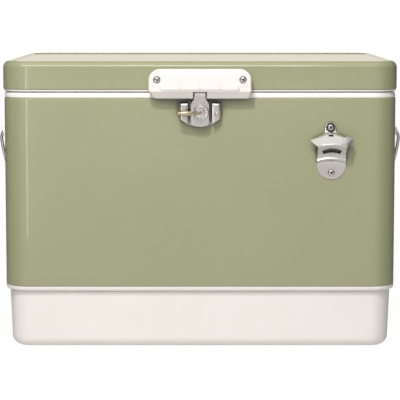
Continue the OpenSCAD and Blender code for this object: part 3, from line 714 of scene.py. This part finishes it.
def grip_ring(z):
    """The grip's outline in plan at a height: (x, out from the body's front)."""
    top, corner, brow = grip_high.z, GRIP_CORNER, 7
    left = right = grip_half
    if z < band_top + 2:
        down = band_top + 2 - z
        left, right = left - 0.66 * down, right - 0.05 * down - 0.018 * down * down
    if z > top - corner:
        rise = math.sqrt(max(corner ** 2 - (z - top + corner) ** 2, 0))
        left = right = grip_half - corner + rise
    face = GRIP_FACE
    if z < band_top:
        t = (band_top - z) / (band_top - grip_low.z)
        face -= 0.25 * min(t * 8, 1) + 6.4 * t
    if z > top - brow:
        face -= brow - math.sqrt(max(brow ** 2 - (z - top + brow) ** 2, 0))
    back = 4.2 if z < lid_z else 1.7
    soft = min(1.0, (z - grip_low.z) / 0.8)
    left, right, face = left - 0.7 * (1 - soft), right - 0.7 * (1 - soft), face - 0.5 * (1 - soft)
    outline = fillet([(-left, -face), (right, -face), (right, -back), (-left, -back)], [3.2, 3.2, 0.4, 0.4])
    return [(x, front_y + y, z) for x, y in outline]


def front_grip():
    top = grip_high.z
    heights = [grip_low.z + up for up in (0, 0.25, 0.8, 4)] + [band_top + up for up in (-1.4, -0.7, 0, 1.2)]
    heights += [lid_z - 0.05, lid_z + 0.05, top - 24]
    heights += [top - GRIP_CORNER + GRIP_CORNER * sind(a) for a in range(0, 86, 5)] + [top - 0.01]
    block = loft("grip", [grip_ring(z) for z in heights], sharp=45)
    half, fore = 10.3, front_y - 40
    plan = ((-half, fore), (half, fore), (half, front_y), (-half, front_y))
    notch = loft("notch", [[(x, y, z) for x, y in plan] for z in (grip_low.z - 4, PIN_Z + 5.8)])
    well = [(0, -2.4), (5.0, -2.4), (5.4, -2), (5.5, -0.4), (6.3, 0.4), (6.3, 6), (0, 6)]
    wells = [lathe("well", [(r, GRIP_FACE + out) for r, out in well],
                   at_front(s * GRIP_SCREW_X, GRIP_SCREW_Z)) for s in (-1, 1)]
    cut(block, join("cutters", [notch] + wells), sharp=45)
    soften(block, 0.35, 3, 50)
    pad_z = top - 7
    outline = fillet([(-59, band_top + 1.4), (59, band_top + 1.4), (59, pad_z - 17.5), (41, pad_z),
                      (-41, pad_z), (-59, pad_z - 17.5)], [3, 3, 9, 5, 5, 9])
    steps = [(-1.5, -1), (-1.5, 0), (-0.9, 0.1), (-0.2, 0.42), (0.5, 0.88), (1.2, 1.3), (2.0, 1.58),
             (2.8, 1.7)]
    front = at_front(0, 0)
    pad = loft("pad", [moved(front, [(x, z, GRIP_FACE + out) for x, z in inset(outline, i)])
                       for i, out in steps], sharp=60)
    grooves = []
    for x in (-29.5, 0, 29.5):
        line = [(x + u, pad_z - 9.2 + v) for u, v in box_outline(1.3, 22.5, 0.6, 4)]
        grooves.append(prism("groove", line, 4, at_front(0, 0, GRIP_FACE + 0.9)))
        dot = [(x + u, band_top + 3.9 + v) for u, v in box_outline(2, 2, 0.9, 4)]
        grooves.append(prism("dot", dot, 4, at_front(0, 0, GRIP_FACE + 0.7)))
    cut(pad, join("grooves", grooves), sharp=40)
    soften(pad, 0.18, 2, 50)
    dress(pad, "lid", "white_plastic")
    return dress(block, "lid", "white_plastic", "front_grip")


# ---------------------------------------------------------------------------
# hasp, turn lock and catch

KNOB_X, KNOB_Z = 1.5, 358.5
STRAP_OUT, STRAP_T = 9.8, 1.8
PIN_OUT, PIN_Z = 9, 384.6


def hasp_strap():
    half = 13.9
    side = [(8.2, PIN_Z + 4.9), (8.8, PIN_Z + 4.4), (8.9, 380.4), (9.1, 379.2), (9.6, 378), (10.1, 377),
            (11.1, 375.8), (12.2, 374.3), (13.1, 372.4), (13.7, 370.2), (half, 368.5), (half, 345.2),
            (13.6, 343.3), (12.7, 341.6), (11, 340.1), (8, 339.1), (4, 338.6)]
    outline = side + [(0, 338.4)] + [(-x, z) for x, z in reversed(side)]
    plate = slab("strap_plate", list(reversed(outline)), STRAP_T, at_front(0, 0, STRAP_OUT), edge=0.7)
    eye = [(1.9, -8.4), (2.9, -8.4), (3.2, -8.1), (3.2, 8.1), (2.9, 8.4), (1.9, 8.4)]
    barrel = lathe("strap_barrel", eye, Matrix.Translation((0, front_y - PIN_OUT, PIN_Z)) @ spin(90, "Y"),
                   closed=True)
    path = smooth_path([(x, front_y - STRAP_OUT - 0.9, z) for x, z in
                        [(-13.2, 343.5), (-12, 341.2), (-9, 339.7), (-4.5, 339), (0, 338.8), (4.5, 339),
                         (9, 339.7), (12, 341.2), (13.2, 343.5)]], 5)
    taper = [0.3 + 0.55 * math.sin(math.pi * i / (len(path) - 1)) ** 0.4 for i in range(len(path))]
    curl = tube("strap_curl", path, taper, steps=14)
    bands = []
    for r, start, end, size in ((11.9, -70, 158, 0.75), (12.6, 200, 262, 0.55)):
        ringed = [(KNOB_X + r * cosd(a), front_y - STRAP_OUT - STRAP_T + 0.2,
                   KNOB_Z + r * sind(a)) for a in range(start, end + 1, 6)]
        sizes = [size * min(1, 0.35 + 0.65 * min(i, len(ringed) - 1 - i) / 3) for i in range(len(ringed))]
        bands.append(tube("strap_band", ringed, sizes, steps=12))
    pit = [(0, 0), (0.8, 0), (1.25, 1.2), (0, 1.2)]
    dimples = [lathe("dimple", pit, at_front(x, 344.6, STRAP_OUT + STRAP_T - 0.6), steps=20)
               for x in (-2.4, 2.6)]
    cut(plate, join("dimples", dimples), sharp=50)
    strap = dress(join("strap", [plate, barrel, curl] + bands), "hasp", "stainless", "hasp_strap")
    # the strap takes the stainless with the fainter painted shade, so its neck in the notch stays light
    strap.data.materials[0] = MATERIALS["stainless_faint_shade"]
    return strap


def lock_disc():
    out = STRAP_OUT + STRAP_T + 0.1
    profile = [(0, -4.9), (2.9, -4.9), (3, -4.8), (3, 0), (10.4, 0), (10.9, 0.2), (11, 0.6), (11, 1.2),
               (10.8, 1.6), (10.3, 1.85), (9.7, 1.9), (9.1, 1.75), (8.6, 1.6), (7.9, 1.6), (5.9, 1.68),
               (5.4, 1.85), (5.0, 2.0), (4.4, 2.05), (0, 2.1)]
    disc = lathe("knob_disc", profile, at_front(KNOB_X, KNOB_Z, out), steps=64)
    slot = prism("slot", [(u - 4.6, v) for u, v in box_outline(11.5, 2.8, 1.2)], 4,
                 at_front(KNOB_X, KNOB_Z + 0.2, out + 0.5))
    cut(disc, slot, sharp=40)
    return dress(disc, "turn_lock", "stainless", "lock_disc")


def lock_lever():
    out = STRAP_OUT + STRAP_T + 0.1
    spine = [(1.2, 1.6, 0.7), (-1, 2.4, 1.15), (-4, 3.4, 1.55), (-8, 4.6, 2.1), (-12, 5.7, 2.75),
             (-16, 6.5, 3.35), (-20, 7.0, 3.8), (-24, 7.2, 3.9), (-27.5, 7.3, 3.55), (-30.5, 7.4, 2.95),
             (-33, 7.5, 2.25), (-35, 7.6, 1.6), (-36.1, 7.6, 0.95), (-36.5, 7.6, 0.3)]
    path = smooth_path([(KNOB_X + x, front_y - out - o, KNOB_Z) for x, o, _ in spine], 4)
    sizes = [v.x for v in smooth_path([(r, 0, 0) for _, _, r in spine], 4)]
    lever = tube("lever", path, sizes, steps=28)
    web = prism("lever_web", box_outline(10.6, 1.9, 0.7), 2.6, at_front(KNOB_X - 4.2, KNOB_Z, out + 0.75))
    soften(web, 0.2, 2)
    return dress(join("lever", [lever, web]), "turn_lock", "warm_bronze", "lock_lever")


def catch_plate():
    """A pressed channel, its section drawn from above and its height following the outline."""
    half, top, wing, t = 31.6, 373.6, 10.4, 1.3

    def low(x):
        x = abs(x)
        return 340 - 2.6 * (1 - (x / 16) ** 2) if x < 16 else 340 + (x - 16) * 0.66

    def high(x):
        over = max(abs(x) - half + 6, 0)
        return top - 6 + math.sqrt(max(36 - over ** 2, 0)) if over else top

    def bend(s):
        face = wing - t / 2
        pts = [(18.3, face - 0.9), (18.6, face - 0.2), (19.6, face), (23, face), (27.2, face)]
        pts += [(27.2 + 3.4 * sind(a), face - 3.4 + 3.4 * cosd(a))
                for a in range(15, 91, 15)]
        pts += [(30.9, 4), (30.9, 2.2), (30.3, 1.1), (29.2, t / 2), (24, t / 2), (16, t / 2)]
        return [(s * x, o) for x, o in pts]

    path = [Vector(p) for p in bend(-1) + [(0, t / 2)] + list(reversed(bend(1)))]
    normals = [Vector((heading(path, i).y, -heading(path, i).x)) for i in range(len(path))]
    vs = [0, 0.02, 0.05, 0.09, 0.14, 0.3, 0.5, 0.7, 0.82, 0.87, 0.91, 0.945, 0.975, 1]

    def at(i, v, side):
        p = path[i] + normals[i] * side * t / 2
        z0, z1 = low(path[i].x), high(path[i].x)
        z = z0 + (z1 - z0) * v
        lift = max(p.y - 2, 0) / 8
        near = min(z1 - z, 4.2) / 4.2
        under = min(z - z0, 1.6) / 1.6
        sag = (3.0 * (1 - math.sqrt(max(1 - (1 - near) ** 2, 0)))
               + 0.9 * (1 - math.sqrt(max(1 - (1 - under) ** 2, 0))))
        return (p.x, front_y - p.y + lift * sag, z)

    index = list(range(len(path)))
    plate = two_sided("catch", index, vs, lambda i, v: at(i, v, 1), lambda i, v: at(i, v, -1), sharp=45)
    hexagon = [(5.2 * cosd(60 * k + 30), 5.6 * sind(60 * k + 30)) for k in range(6)]
    boss = slab("catch_boss", fillet(hexagon, [0.8] * 6, 3), 0.7, at_front(25.2, 357, wing - 0.2), edge=0.3)
    beads = [slab("catch_bead", box_outline(8.2, 1.7, 0.8), 0.7, at_front(x, z, wing - 0.4), edge=0.5)
             for x, z in ((23.2, 369.8), (-24, 368.8))]
    return dress(join("catch", [plate, boss] + beads), "chest", "stainless", "catch_plate")


def catch_rivets():
    profile = [(0, -9), (1.6, -9), (1.6, 0), (2.9, 0), (2.85, 0.5), (2.5, 0.95), (1.9, 1.25), (1.2, 1.4),
               (1.0, 1.2), (0.8, 1.0), (0, 1.0)]
    rivet = lathe("rivet", profile, Matrix.Identity(4), steps=32)
    pair = stamp("rivets", rivet, [at_front(-25.5, 357.2, 10.45), at_front(25.2, 357, 10.95)])
    bpy.data.objects.remove(rivet)
    return dress(pair, "chest", "stainless", "catch_rivets")


# ---------------------------------------------------------------------------
# bottle opener

OPENER_X, OPENER_Z = 197, opener_low.z
TAB_UP, FOOT_UP = 78, 10  # its two screws, above its lower end


def bottle_opener():
    """A pressed sheet: each station is (height, out, half width, arch of its line, shift in x)."""
    t, r = 1.6, 21.7
    round_end = [(r - r * cosd(a), 0.85, max(r * sind(a), 0.9), 0, 0)
                 for a in (2, 6, 12, 20, 28, 37, 46, 55, 64, 74)]
    # the wall plate, the bead across it, the hood up to its lip, and the wings
    straight = [(20.6, 0.85, r, 0.8), (23.5, 0.88, r, 2.0), (25.4, 0.95, r, 3.0), (26.4, 1.6, r, 3.4),
                (27.2, 3.0, r, 3.6), (28.0, 4.5, r, 3.7), (29.0, 5.7, r, 3.7), (30.0, 6.2, r, 3.6),
                (30.9, 6.1, r, 3.4), (31.7, 5.6, 21.6, 3.2), (32.6, 5.0, 21.5, 3.0), (33.9, 4.9, 21.4, 2.8),
                (35.6, 5.6, 21.3, 2.6), (38.4, 8.0, 21.2, 2.4), (42, 11.8, 21.2, 2.2), (46, 15.9, 21.2, 2.1),
                (49.0, 19.0, 21.3, 2.0), (50.2, 20.3, 21.4, 2.0), (51.1, 21.3, 21.6, 2.0),
                (52.0, 22.0, 22.0, 2.1), (52.9, 22.3, 22.6, 2.2), (53.8, 22.2, 23.5, 2.2),
                (54.8, 21.6, 24.8, 2.3), (56.4, 19.9, 26.6, 2.5), (58.2, 18.0, 28.6, 2.8),
                (60.0, 16.1, 30.4, 3.1), (61.4, 14.7, 31.6, 3.4), (62.6, 13.5, 31.8, 3.8)]
    rows = round_end + [(*row, 0) for row in straight]
    # the shoulders, which run into the tab a little to one side
    rows += [(63.6, 12.5, 30.6, 4.1, -0.1), (64.8, 11.3, 27.4, 4.4, -0.2), (66.2, 9.9, 23.0, 4.2, -0.4),
             (67.6, 8.5, 18.6, 3.6, -0.7), (68.8, 7.2, 14.6, 2.6, -0.9), (69.8, 6.0, 11.2, 1.4, -1.1),
             (70.8, 4.8, 9.2, 0.6, -1.3), (71.8, 3.9, 8.4, 0.2, -1.5), (72.8, 3.6, 8.1, 0, -1.5),
             (75, 3.5, 8.0, 0, -1.5)]
    rows += [(78 + 8 * sind(a), 3.2 - 0.9 * sind(a) ** 2,
              max(8 * cosd(a), 0.5), 0, -1.5)
             for a in (0, 15, 30, 45, 58, 70, 80, 87)]

    def front(u, v):
        z, out, half, arch, shift = rows[v]
        x = half * u
        dome = max(out - 2, 0) / 20 * 4.4 * (max(abs(x) - 6, 0) / 25) ** 2 if z > 53 else 0
        if z > 70:
            dome += 1.0 * (x / 8) ** 2 * min((z - 70) / 5, 1)
        return (OPENER_X + shift + x, front_y - out + dome, OPENER_Z + z + arch * (0.35 - u * u))

    def back(u, v):
        e = 1e-3
        a, b = Vector(front(u, max(v - 1, 0))), Vector(front(u, min(v + 1, len(rows) - 1)))
        c, d = Vector(front(u - e, v)), Vector(front(u + e, v))
        n = (b - a).cross(d - c).normalized()
        if n.y < 0:
            n = -n
        p = Vector(front(u, v)) + n * t
        return (p.x, min(p.y, front_y - 0.05), p.z)

    us = [-1, -0.985, -0.96] + [-0.92 + 1.84 * i / 44 for i in range(45)] + [0.96, 0.985, 1]
    opener = two_sided("opener", us, list(range(len(rows))), front, back, sharp=55)
    top, r_out, r_in = 47.4, 36.5, 36.5 - 6.2
    slot_line = [(r * sind(turn * a), top - r_out + r * cosd(a))
                 for r, turn in ((r_out, 1), (r_in, -1)) for a in range(-24, 25, 2)]
    slot = prism("slot", slot_line[::-1], 30, at_front(OPENER_X, OPENER_Z, 2.5))
    mark = prism("mark", box_outline(7.5, 2.6, 1.2), 8, at_front(OPENER_X - 1.5, OPENER_Z + 66.6, 5.4))
    bowl = [(0, 0.8), (6.8, 0.8), (7.1, 1.3), (7.1, 8), (0, 8)]
    dish = lathe("dish", bowl, at_front(OPENER_X - 1.5, OPENER_Z + TAB_UP))
    cut(opener, join("slots", [slot, mark, dish]), sharp=45)
    soften(opener, 0.3, 2, 50)
    return dress(opener, "chest", "polished_steel", "bottle_opener")


# ---------------------------------------------------------------------------
# side handles, hinges and drain

PIVOT_OUT, PIVOT_Z = 7, 321
BRACKET_Z = PIVOT_Z - 3
BAIL_HALF, BAIL_DROP, BAR_R = 62, 86, 2.5


def handle_plate(side, name):
    plate = slab("handle_bracket", box_outline(156, 48, 8), 1.4, at_side(side, 0, BRACKET_Z, 0.05), edge=0.6)
    panel = slab("bracket_panel", box_outline(112, 30, 6), 0.9, at_side(side, 0, BRACKET_Z, 1.2), edge=0.8)
    curve = [(0.6 + 14.6 * cosd(a), 10.5 * sind(a)) for a in range(-84, 85, 12)]
    upright = Matrix(((side, 0, 0, 0), (0, 0, 1, 0), (0, 1, 0, 0), (0, 0, 0, 1)))
    ears = [prism("ear", [(0.6, -11)] + curve + [(0.6, 11)], 3,
                  Matrix.Translation((side * body_w / 2, e * 67.5 - 1.5, PIVOT_Z)) @ upright, sharp=40)
            for e in (-1, 1)]
    made = join(name + "_bracket", [plate, panel] + ears)
    soften(made, 0.45, 3, 50)
    return dress(made, "chest", "stainless", name)


def bail(side, name, body):
    arm = [(13.0, -0.6), (16.3, -6.2), (17.4, -14), (14.2, -33), (8.2, -57), (3.9, -80)]
    wall = side * body_w / 2

    def half_bar(e):
        """From the pivot's end down to the grip's middle, on one side of it."""
        points = [(PIVOT_OUT, 71, 0), (PIVOT_OUT, 67, 0), (PIVOT_OUT + 0.5, 64, -0.2)]
        points += [(o, BAIL_HALF, z) for o, z in arm]
        points += [(3.1, BAIL_HALF - 2, 0.6 - BAIL_DROP), (2.95, BAIL_HALF - 6, -BAIL_DROP)]
        return [(wall + side * o, e * y, PIVOT_Z + z) for o, y, z in points]

    middle = [(wall + side * 2.95, 0, PIVOT_Z - BAIL_DROP)]
    path = smooth_path(half_bar(-1) + middle + half_bar(1)[::-1], 8)
    return dress(tube(name + "_bar", path, [BAR_R] * len(path), steps=24), body, "polished_steel", name)


PLATE_FACE = 1.48  # how far out a screw's head stands on a bracket or a hinge's leaf
HINGE_X, HINGE_Y, HINGE_Z = 180, 207.5, 391
KNUCKLE_R = 4.2


def strip(name, path, thickness, x0, x1):
    """A sheet bent along a path of (y, z) and running from x0 to x1."""
    path = [Vector(p) for p in path]
    sides = [Vector((-heading(path, i).y, heading(path, i).x)) * thickness / 2 for i in range(len(path))]
    index = list(range(len(path)))
    return two_sided(name, index, [x0, x1],
                     lambda i, x: (x, path[i].x + sides[i].x, path[i].y + sides[i].y),
                     lambda i, x: (x, path[i].x - sides[i].x, path[i].y - sides[i].y), sharp=40)


def hinge_leaf(name, body, plate, bend, sweep, knuckles):
    """A flat plate, and a sheet that bends out from the wall and curls round the pin."""
    r = KNUCKLE_R - 0.75
    curl = bend + [(HINGE_Y + r * cosd(a), HINGE_Z + r * sind(a)) for a in range(*sweep)]
    made = join(name + "_leaf", [plate] + [strip("knuckle", curl, 1.5, low, high) for low, high in knuckles])
    soften(made, 0.25, 2, 60)
    return dress(made, body, "stainless", name)


def hinge(x, tag):
    wall, lid_wall, edge = body_d / 2, lid_d / 2, 0.45
    below = slab("leaf", box_outline(60, 34, 3), 1.4, at_back(x, 367.2, 0.05), edge)
    bend = [(wall + 0.75, 376), (wall + 0.75, 384.2), (wall + 1.2, 385.9), (wall + 2.6, 387.0),
            (wall + 4.4, 387.4)]
    hinge_leaf("hinge_leaf_body_" + tag, "chest", below, bend, (-100, 200, 12),
               [(x - 30, x - 10.2), (x + 10.2, x + 30)])
    above = slab("leaf", box_outline(60, 27.6, 3), 1.4, at_lid_back(x, 408.4, 0.05), edge)
    bend = [(lid_wall + 0.75, 404), (lid_wall + 0.75, 398.4), (lid_wall + 1.1, 396.6),
            (lid_wall + 2.2, 395.1), (lid_wall + 4.0, 394.55)]
    hinge_leaf("hinge_leaf_lid_" + tag, "lid", above, bend, (104, -190, -12), [(x - 10, x + 10)])
    hinge_pin(x, "hinge_pin_" + tag)


def at_lid_back(x, z, out=0):
    return at_back(x, z, out + (lid_d - body_d) / 2)


def hinge_pin(x, name):
    upper = [(2, 30.2), (3, 30.3), (3, 30.8), (2.4, 31.2), (0, 31.2)]
    profile = [(r, -h) for r, h in upper[::-1]] + upper
    turn = Matrix.Translation((x, HINGE_Y, HINGE_Z)) @ spin(90, "Y")
    return dress(lathe(name + "_rod", profile, turn, steps=28), "chest", "stainless", name)


def drain_parts():
    seat, end = body_w / 2 - 5, 16
    at = at_side(1, drain.y, drain.z, -5)
    inner = -(seat - CAVITY[0] / 2) - 6
    spout = [(8, inner), (8, end - 0.4), (8.4, end), (10.1, end), (10.5, end - 0.4), (10.5, 4.6), (16, 4.5),
             (16.5, 4), (16.5, 1.9), (16.2, 1.55), (10.5, 1.5), (10.5, inner)]
    ring_of = [(10.7, 0.05), (16, 0.05), (16.2, 0.75), (16, 1.45), (10.7, 1.45)]
    dress(lathe("spout_tube", spout, at, steps=64, closed=True), "chest", "white_plastic", "drain_spout")
    dress(lathe("washer_ring", ring_of, at, steps=64, closed=True), "chest", "grey_rubber", "drain_washer")
    cap_z0, cap_z1 = 4.9, 20
    outer = [(12.9, cap_z0), (13.1, cap_z0 + 0.4), (13.1, cap_z1 - 1.8), (12.7, cap_z1 - 0.9),
             (11.8, cap_z1 - 0.3), (10.4, cap_z1), (8.2, cap_z1), (7.6, cap_z1 - 0.5), (0, cap_z1 - 0.5)]
    bore = [(0, end + 1.6), (10.65, end + 1.6), (10.65, cap_z0)]

    def knurl(angle, height):
        ridge = max(0, math.cos(24 * angle)) ** 3
        return 0.5 * ridge if cap_z0 + 0.2 < height < cap_z1 - 1.2 else 0

    rings = lathe_rings(bore, at, 144) + lathe_rings(outer, at, 144, knurl)
    dress(loft("cap_shell", rings, sharp=40), "cap", "white_plastic", "drain_cap")


def fasteners():
    front_big = screw_template(4.9, 2.6)
    grip_screw = screw_template(4.6, 2.2, 20)
    side_screw = screw_template(3.8, 1.9)
    hinge_screw = screw_template(3.6, 1.8)
    opener = [turned(at_front(OPENER_X - 1.5, OPENER_Z + TAB_UP, 1.1), 25),
              turned(at_front(OPENER_X, OPENER_Z + FOOT_UP, 1.65), 50)]
    grip = [turned(at_front(s * GRIP_SCREW_X, GRIP_SCREW_Z, GRIP_FACE - 2.35), 20 + 50 * s) for s in (-1, 1)]
    across = [(s * HINGE_X + x, x) for s in (-1, 1) for x in (-20, 0, 20)]
    low = [turned(at_back(place, 366, PLATE_FACE), 17 * x) for place, x in across]
    high = [turned(at_lid_back(place, 410.8, PLATE_FACE), 23 * x) for place, x in across]
    sets = [("opener_screws", "chest", front_big, opener), ("grip_screws", "lid", grip_screw, grip),
            ("hinge_screws_body", "chest", hinge_screw, low), ("hinge_screws_lid", "lid", hinge_screw, high)]
    for side, name in ((-1, "handle_screws_left"), (1, "handle_screws_right")):
        places = [turned(at_side(side, e * 66, BRACKET_Z + f * 15, PLATE_FACE), 31 * e + 12 * f)
                  for e in (-1, 1) for f in (-1, 1)]
        sets.append((name, "chest", side_screw, places))
    for name, body, template, places in sets:
        dress(stamp(name + "_set", template, places), body, "stainless", name)
    for template in (front_big, grip_screw, side_screw, hinge_screw):
        bpy.data.objects.remove(template)


# ---------------------------------------------------------------------------
# build

base_tub()
body_belt()
body_liner()
lid_skin()
lid_liner()
lid_gasket()
front_grip()
hasp_strap()
lock_disc()
lock_lever()
catch_plate()
catch_rivets()
bottle_opener()
for side, tag in ((-1, "left"), (1, "right")):
    handle_plate(side, "handle_plate_" + tag)
    bail(side, "bail_" + tag, "handle_" + tag)
    hinge(side * HINGE_X, tag)
drain_parts()
fasteners()

CAD_SLOTS = {row["node"]: row["material_slot"] for row in frame["record"]["subparts"]}
for name, node in frame["nodes"].items():
    node.data.materials.clear()
    node.data.materials.append(MATERIALS[CAD_SLOTS[name]])
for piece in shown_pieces():
    softened = any(m.type == "WEIGHTED_NORMAL" for m in piece.modifiers)
    if piece.type == "MESH" and not softened and piece.name not in frame["nodes"]:
        piece.modifiers.new("even normals", "WEIGHTED_NORMAL").keep_sharp = True

# ---------------------------------------------------------------------------
# camera, light and surroundings

CAMERA, PITCH, SHIFT = Vector((0, -2.629, 0.5271)), 5.643, 0.10
camera = bpy.data.objects.new("camera", bpy.data.cameras.new("camera"))
bpy.context.scene.collection.objects.link(camera)
camera.location = CAMERA
camera.rotation_euler = (math.radians(90 - PITCH), 0, 0)
camera.data.lens, camera.data.sensor_width, camera.data.shift_y = 146.4, 36, -SHIFT
camera.data.clip_start, camera.data.clip_end = 0.1, 50
bpy.context.scene.camera = camera


def softbox(name, azimuth, distance, height, size, power, colour, aim=0.22):
    """An area light at an angle round from the front, turned to face the chest."""
    turn = math.radians(azimuth)
    lamp = bpy.data.lights.new(name, "AREA")
    lamp.shape, lamp.size, lamp.size_y = "RECTANGLE", size[0], size[1]
    lamp.energy, lamp.color = power, colour
    place = bpy.data.objects.new(name, lamp)
    place.location = (distance * math.sin(turn), -distance * math.cos(turn), height)
    place.rotation_euler = (Vector((0, 0, aim)) - place.location).to_track_quat("-Z", "Y").to_euler()
    place.visible_camera = False
    bpy.context.scene.collection.objects.link(place)
    return place


softbox("key", -13, 1.9, 1.85, (1.6, 0.75), 21, (1.0, 0.99, 0.97))
softbox("overhead", 0, 0.55, 2.4, (2.6, 1.2), 9, (1.0, 0.995, 0.98), 0.4)
card = softbox("card", 16, 1.95, 1.8, (1.6, 0.8), 5, (1.0, 0.99, 0.97))
card.visible_diffuse = False
spot = softbox("spot", -14, 1.6, 2.3, (0.09, 0.09), 32, (1.0, 0.985, 0.96), 0.5)
spot.visible_glossy = False
softbox("fill", 30, 2.6, 0.9, (1.2, 1.0), 2, (0.99, 0.99, 1.0))
rear = softbox("rear", 158, 2.6, 1.3, (1.6, 1.6), 12, (1.0, 1.0, 1.0))
rear.visible_glossy = False
softbox("strip", -13.5, 2.7, 0.45, (0.22, 1.3), 4.2, (1.0, 0.99, 0.96))

world = bpy.data.worlds.new("studio")
bpy.context.scene.world = world
world.use_nodes = True
sky = Tree(world.node_tree)
sky.tree.nodes.clear()
out, lit, seen = (sky.add("ShaderNode" + kind) for kind in ("OutputWorld", "Background", "Background"))
seen.inputs["Color"].default_value = (1, 1, 1, 1)
split, across = sky.add("ShaderNodeSeparateXYZ"), sky.add("ShaderNodeMath", operation="ABSOLUTE")
sky.link(sky.add("ShaderNodeTexCoord").outputs["Generated"], split.inputs["Vector"])
sky.link(split.outputs["X"], across.inputs[0])

# what lights the chest: a dark room with a cream gap straight behind it, and a pale floor
DARK, CREAM, HAZE, TABLE = (0.10, 0.10, 0.10), (0.86, 0.80, 0.70), (0.66, 0.65, 0.62), (0.84, 0.80, 0.81)
gap = sky.blend(sky.span(split.outputs["Y"], 0.5, 0.9), DARK, CREAM)
room = sky.blend(sky.span(across.outputs[0], 0.13, 0.21), gap, DARK)
below = sky.blend(sky.span(split.outputs["Z"], -0.15, -0.5), room, HAZE)
floor = sky.blend(sky.span(split.outputs["Y"], -0.6, -0.9), below, TABLE)
sky.link(sky.blend(sky.span(split.outputs["Z"], 0.0, -0.06), room, floor), lit.inputs["Color"])

# the camera itself sees plain white
mix = sky.add("ShaderNodeMixShader")
sky.link(sky.add("ShaderNodeLightPath").outputs["Is Camera Ray"], mix.inputs[0])
sky.link(lit.outputs[0], mix.inputs[1])
sky.link(seen.outputs[0], mix.inputs[2])
sky.link(mix.outputs[0], out.inputs["Surface"])


def bounce_table():
    """An unseen pale table top that throws light up at the base."""
    top = ring(7000, 7000, 200, 0, -1.0, 8)
    low = ring(7000, 7000, 200, 0, -11.0, 8)
    table = loft("table_top", [low, top])
    m = Nodes("table_white")
    m.colour(m.blend(m.ramp(m.noise(3, 2), 0, 1), (0.74, 0.72, 0.70), (0.78, 0.76, 0.74)))
    m.set(Roughness=0.7)
    table.data.materials.append(m.material)
    table.visible_camera = table.visible_glossy = False


bounce_table()

view_settings = bpy.context.scene.view_settings
view_settings.view_transform = "Standard"
view_settings.look = "None"
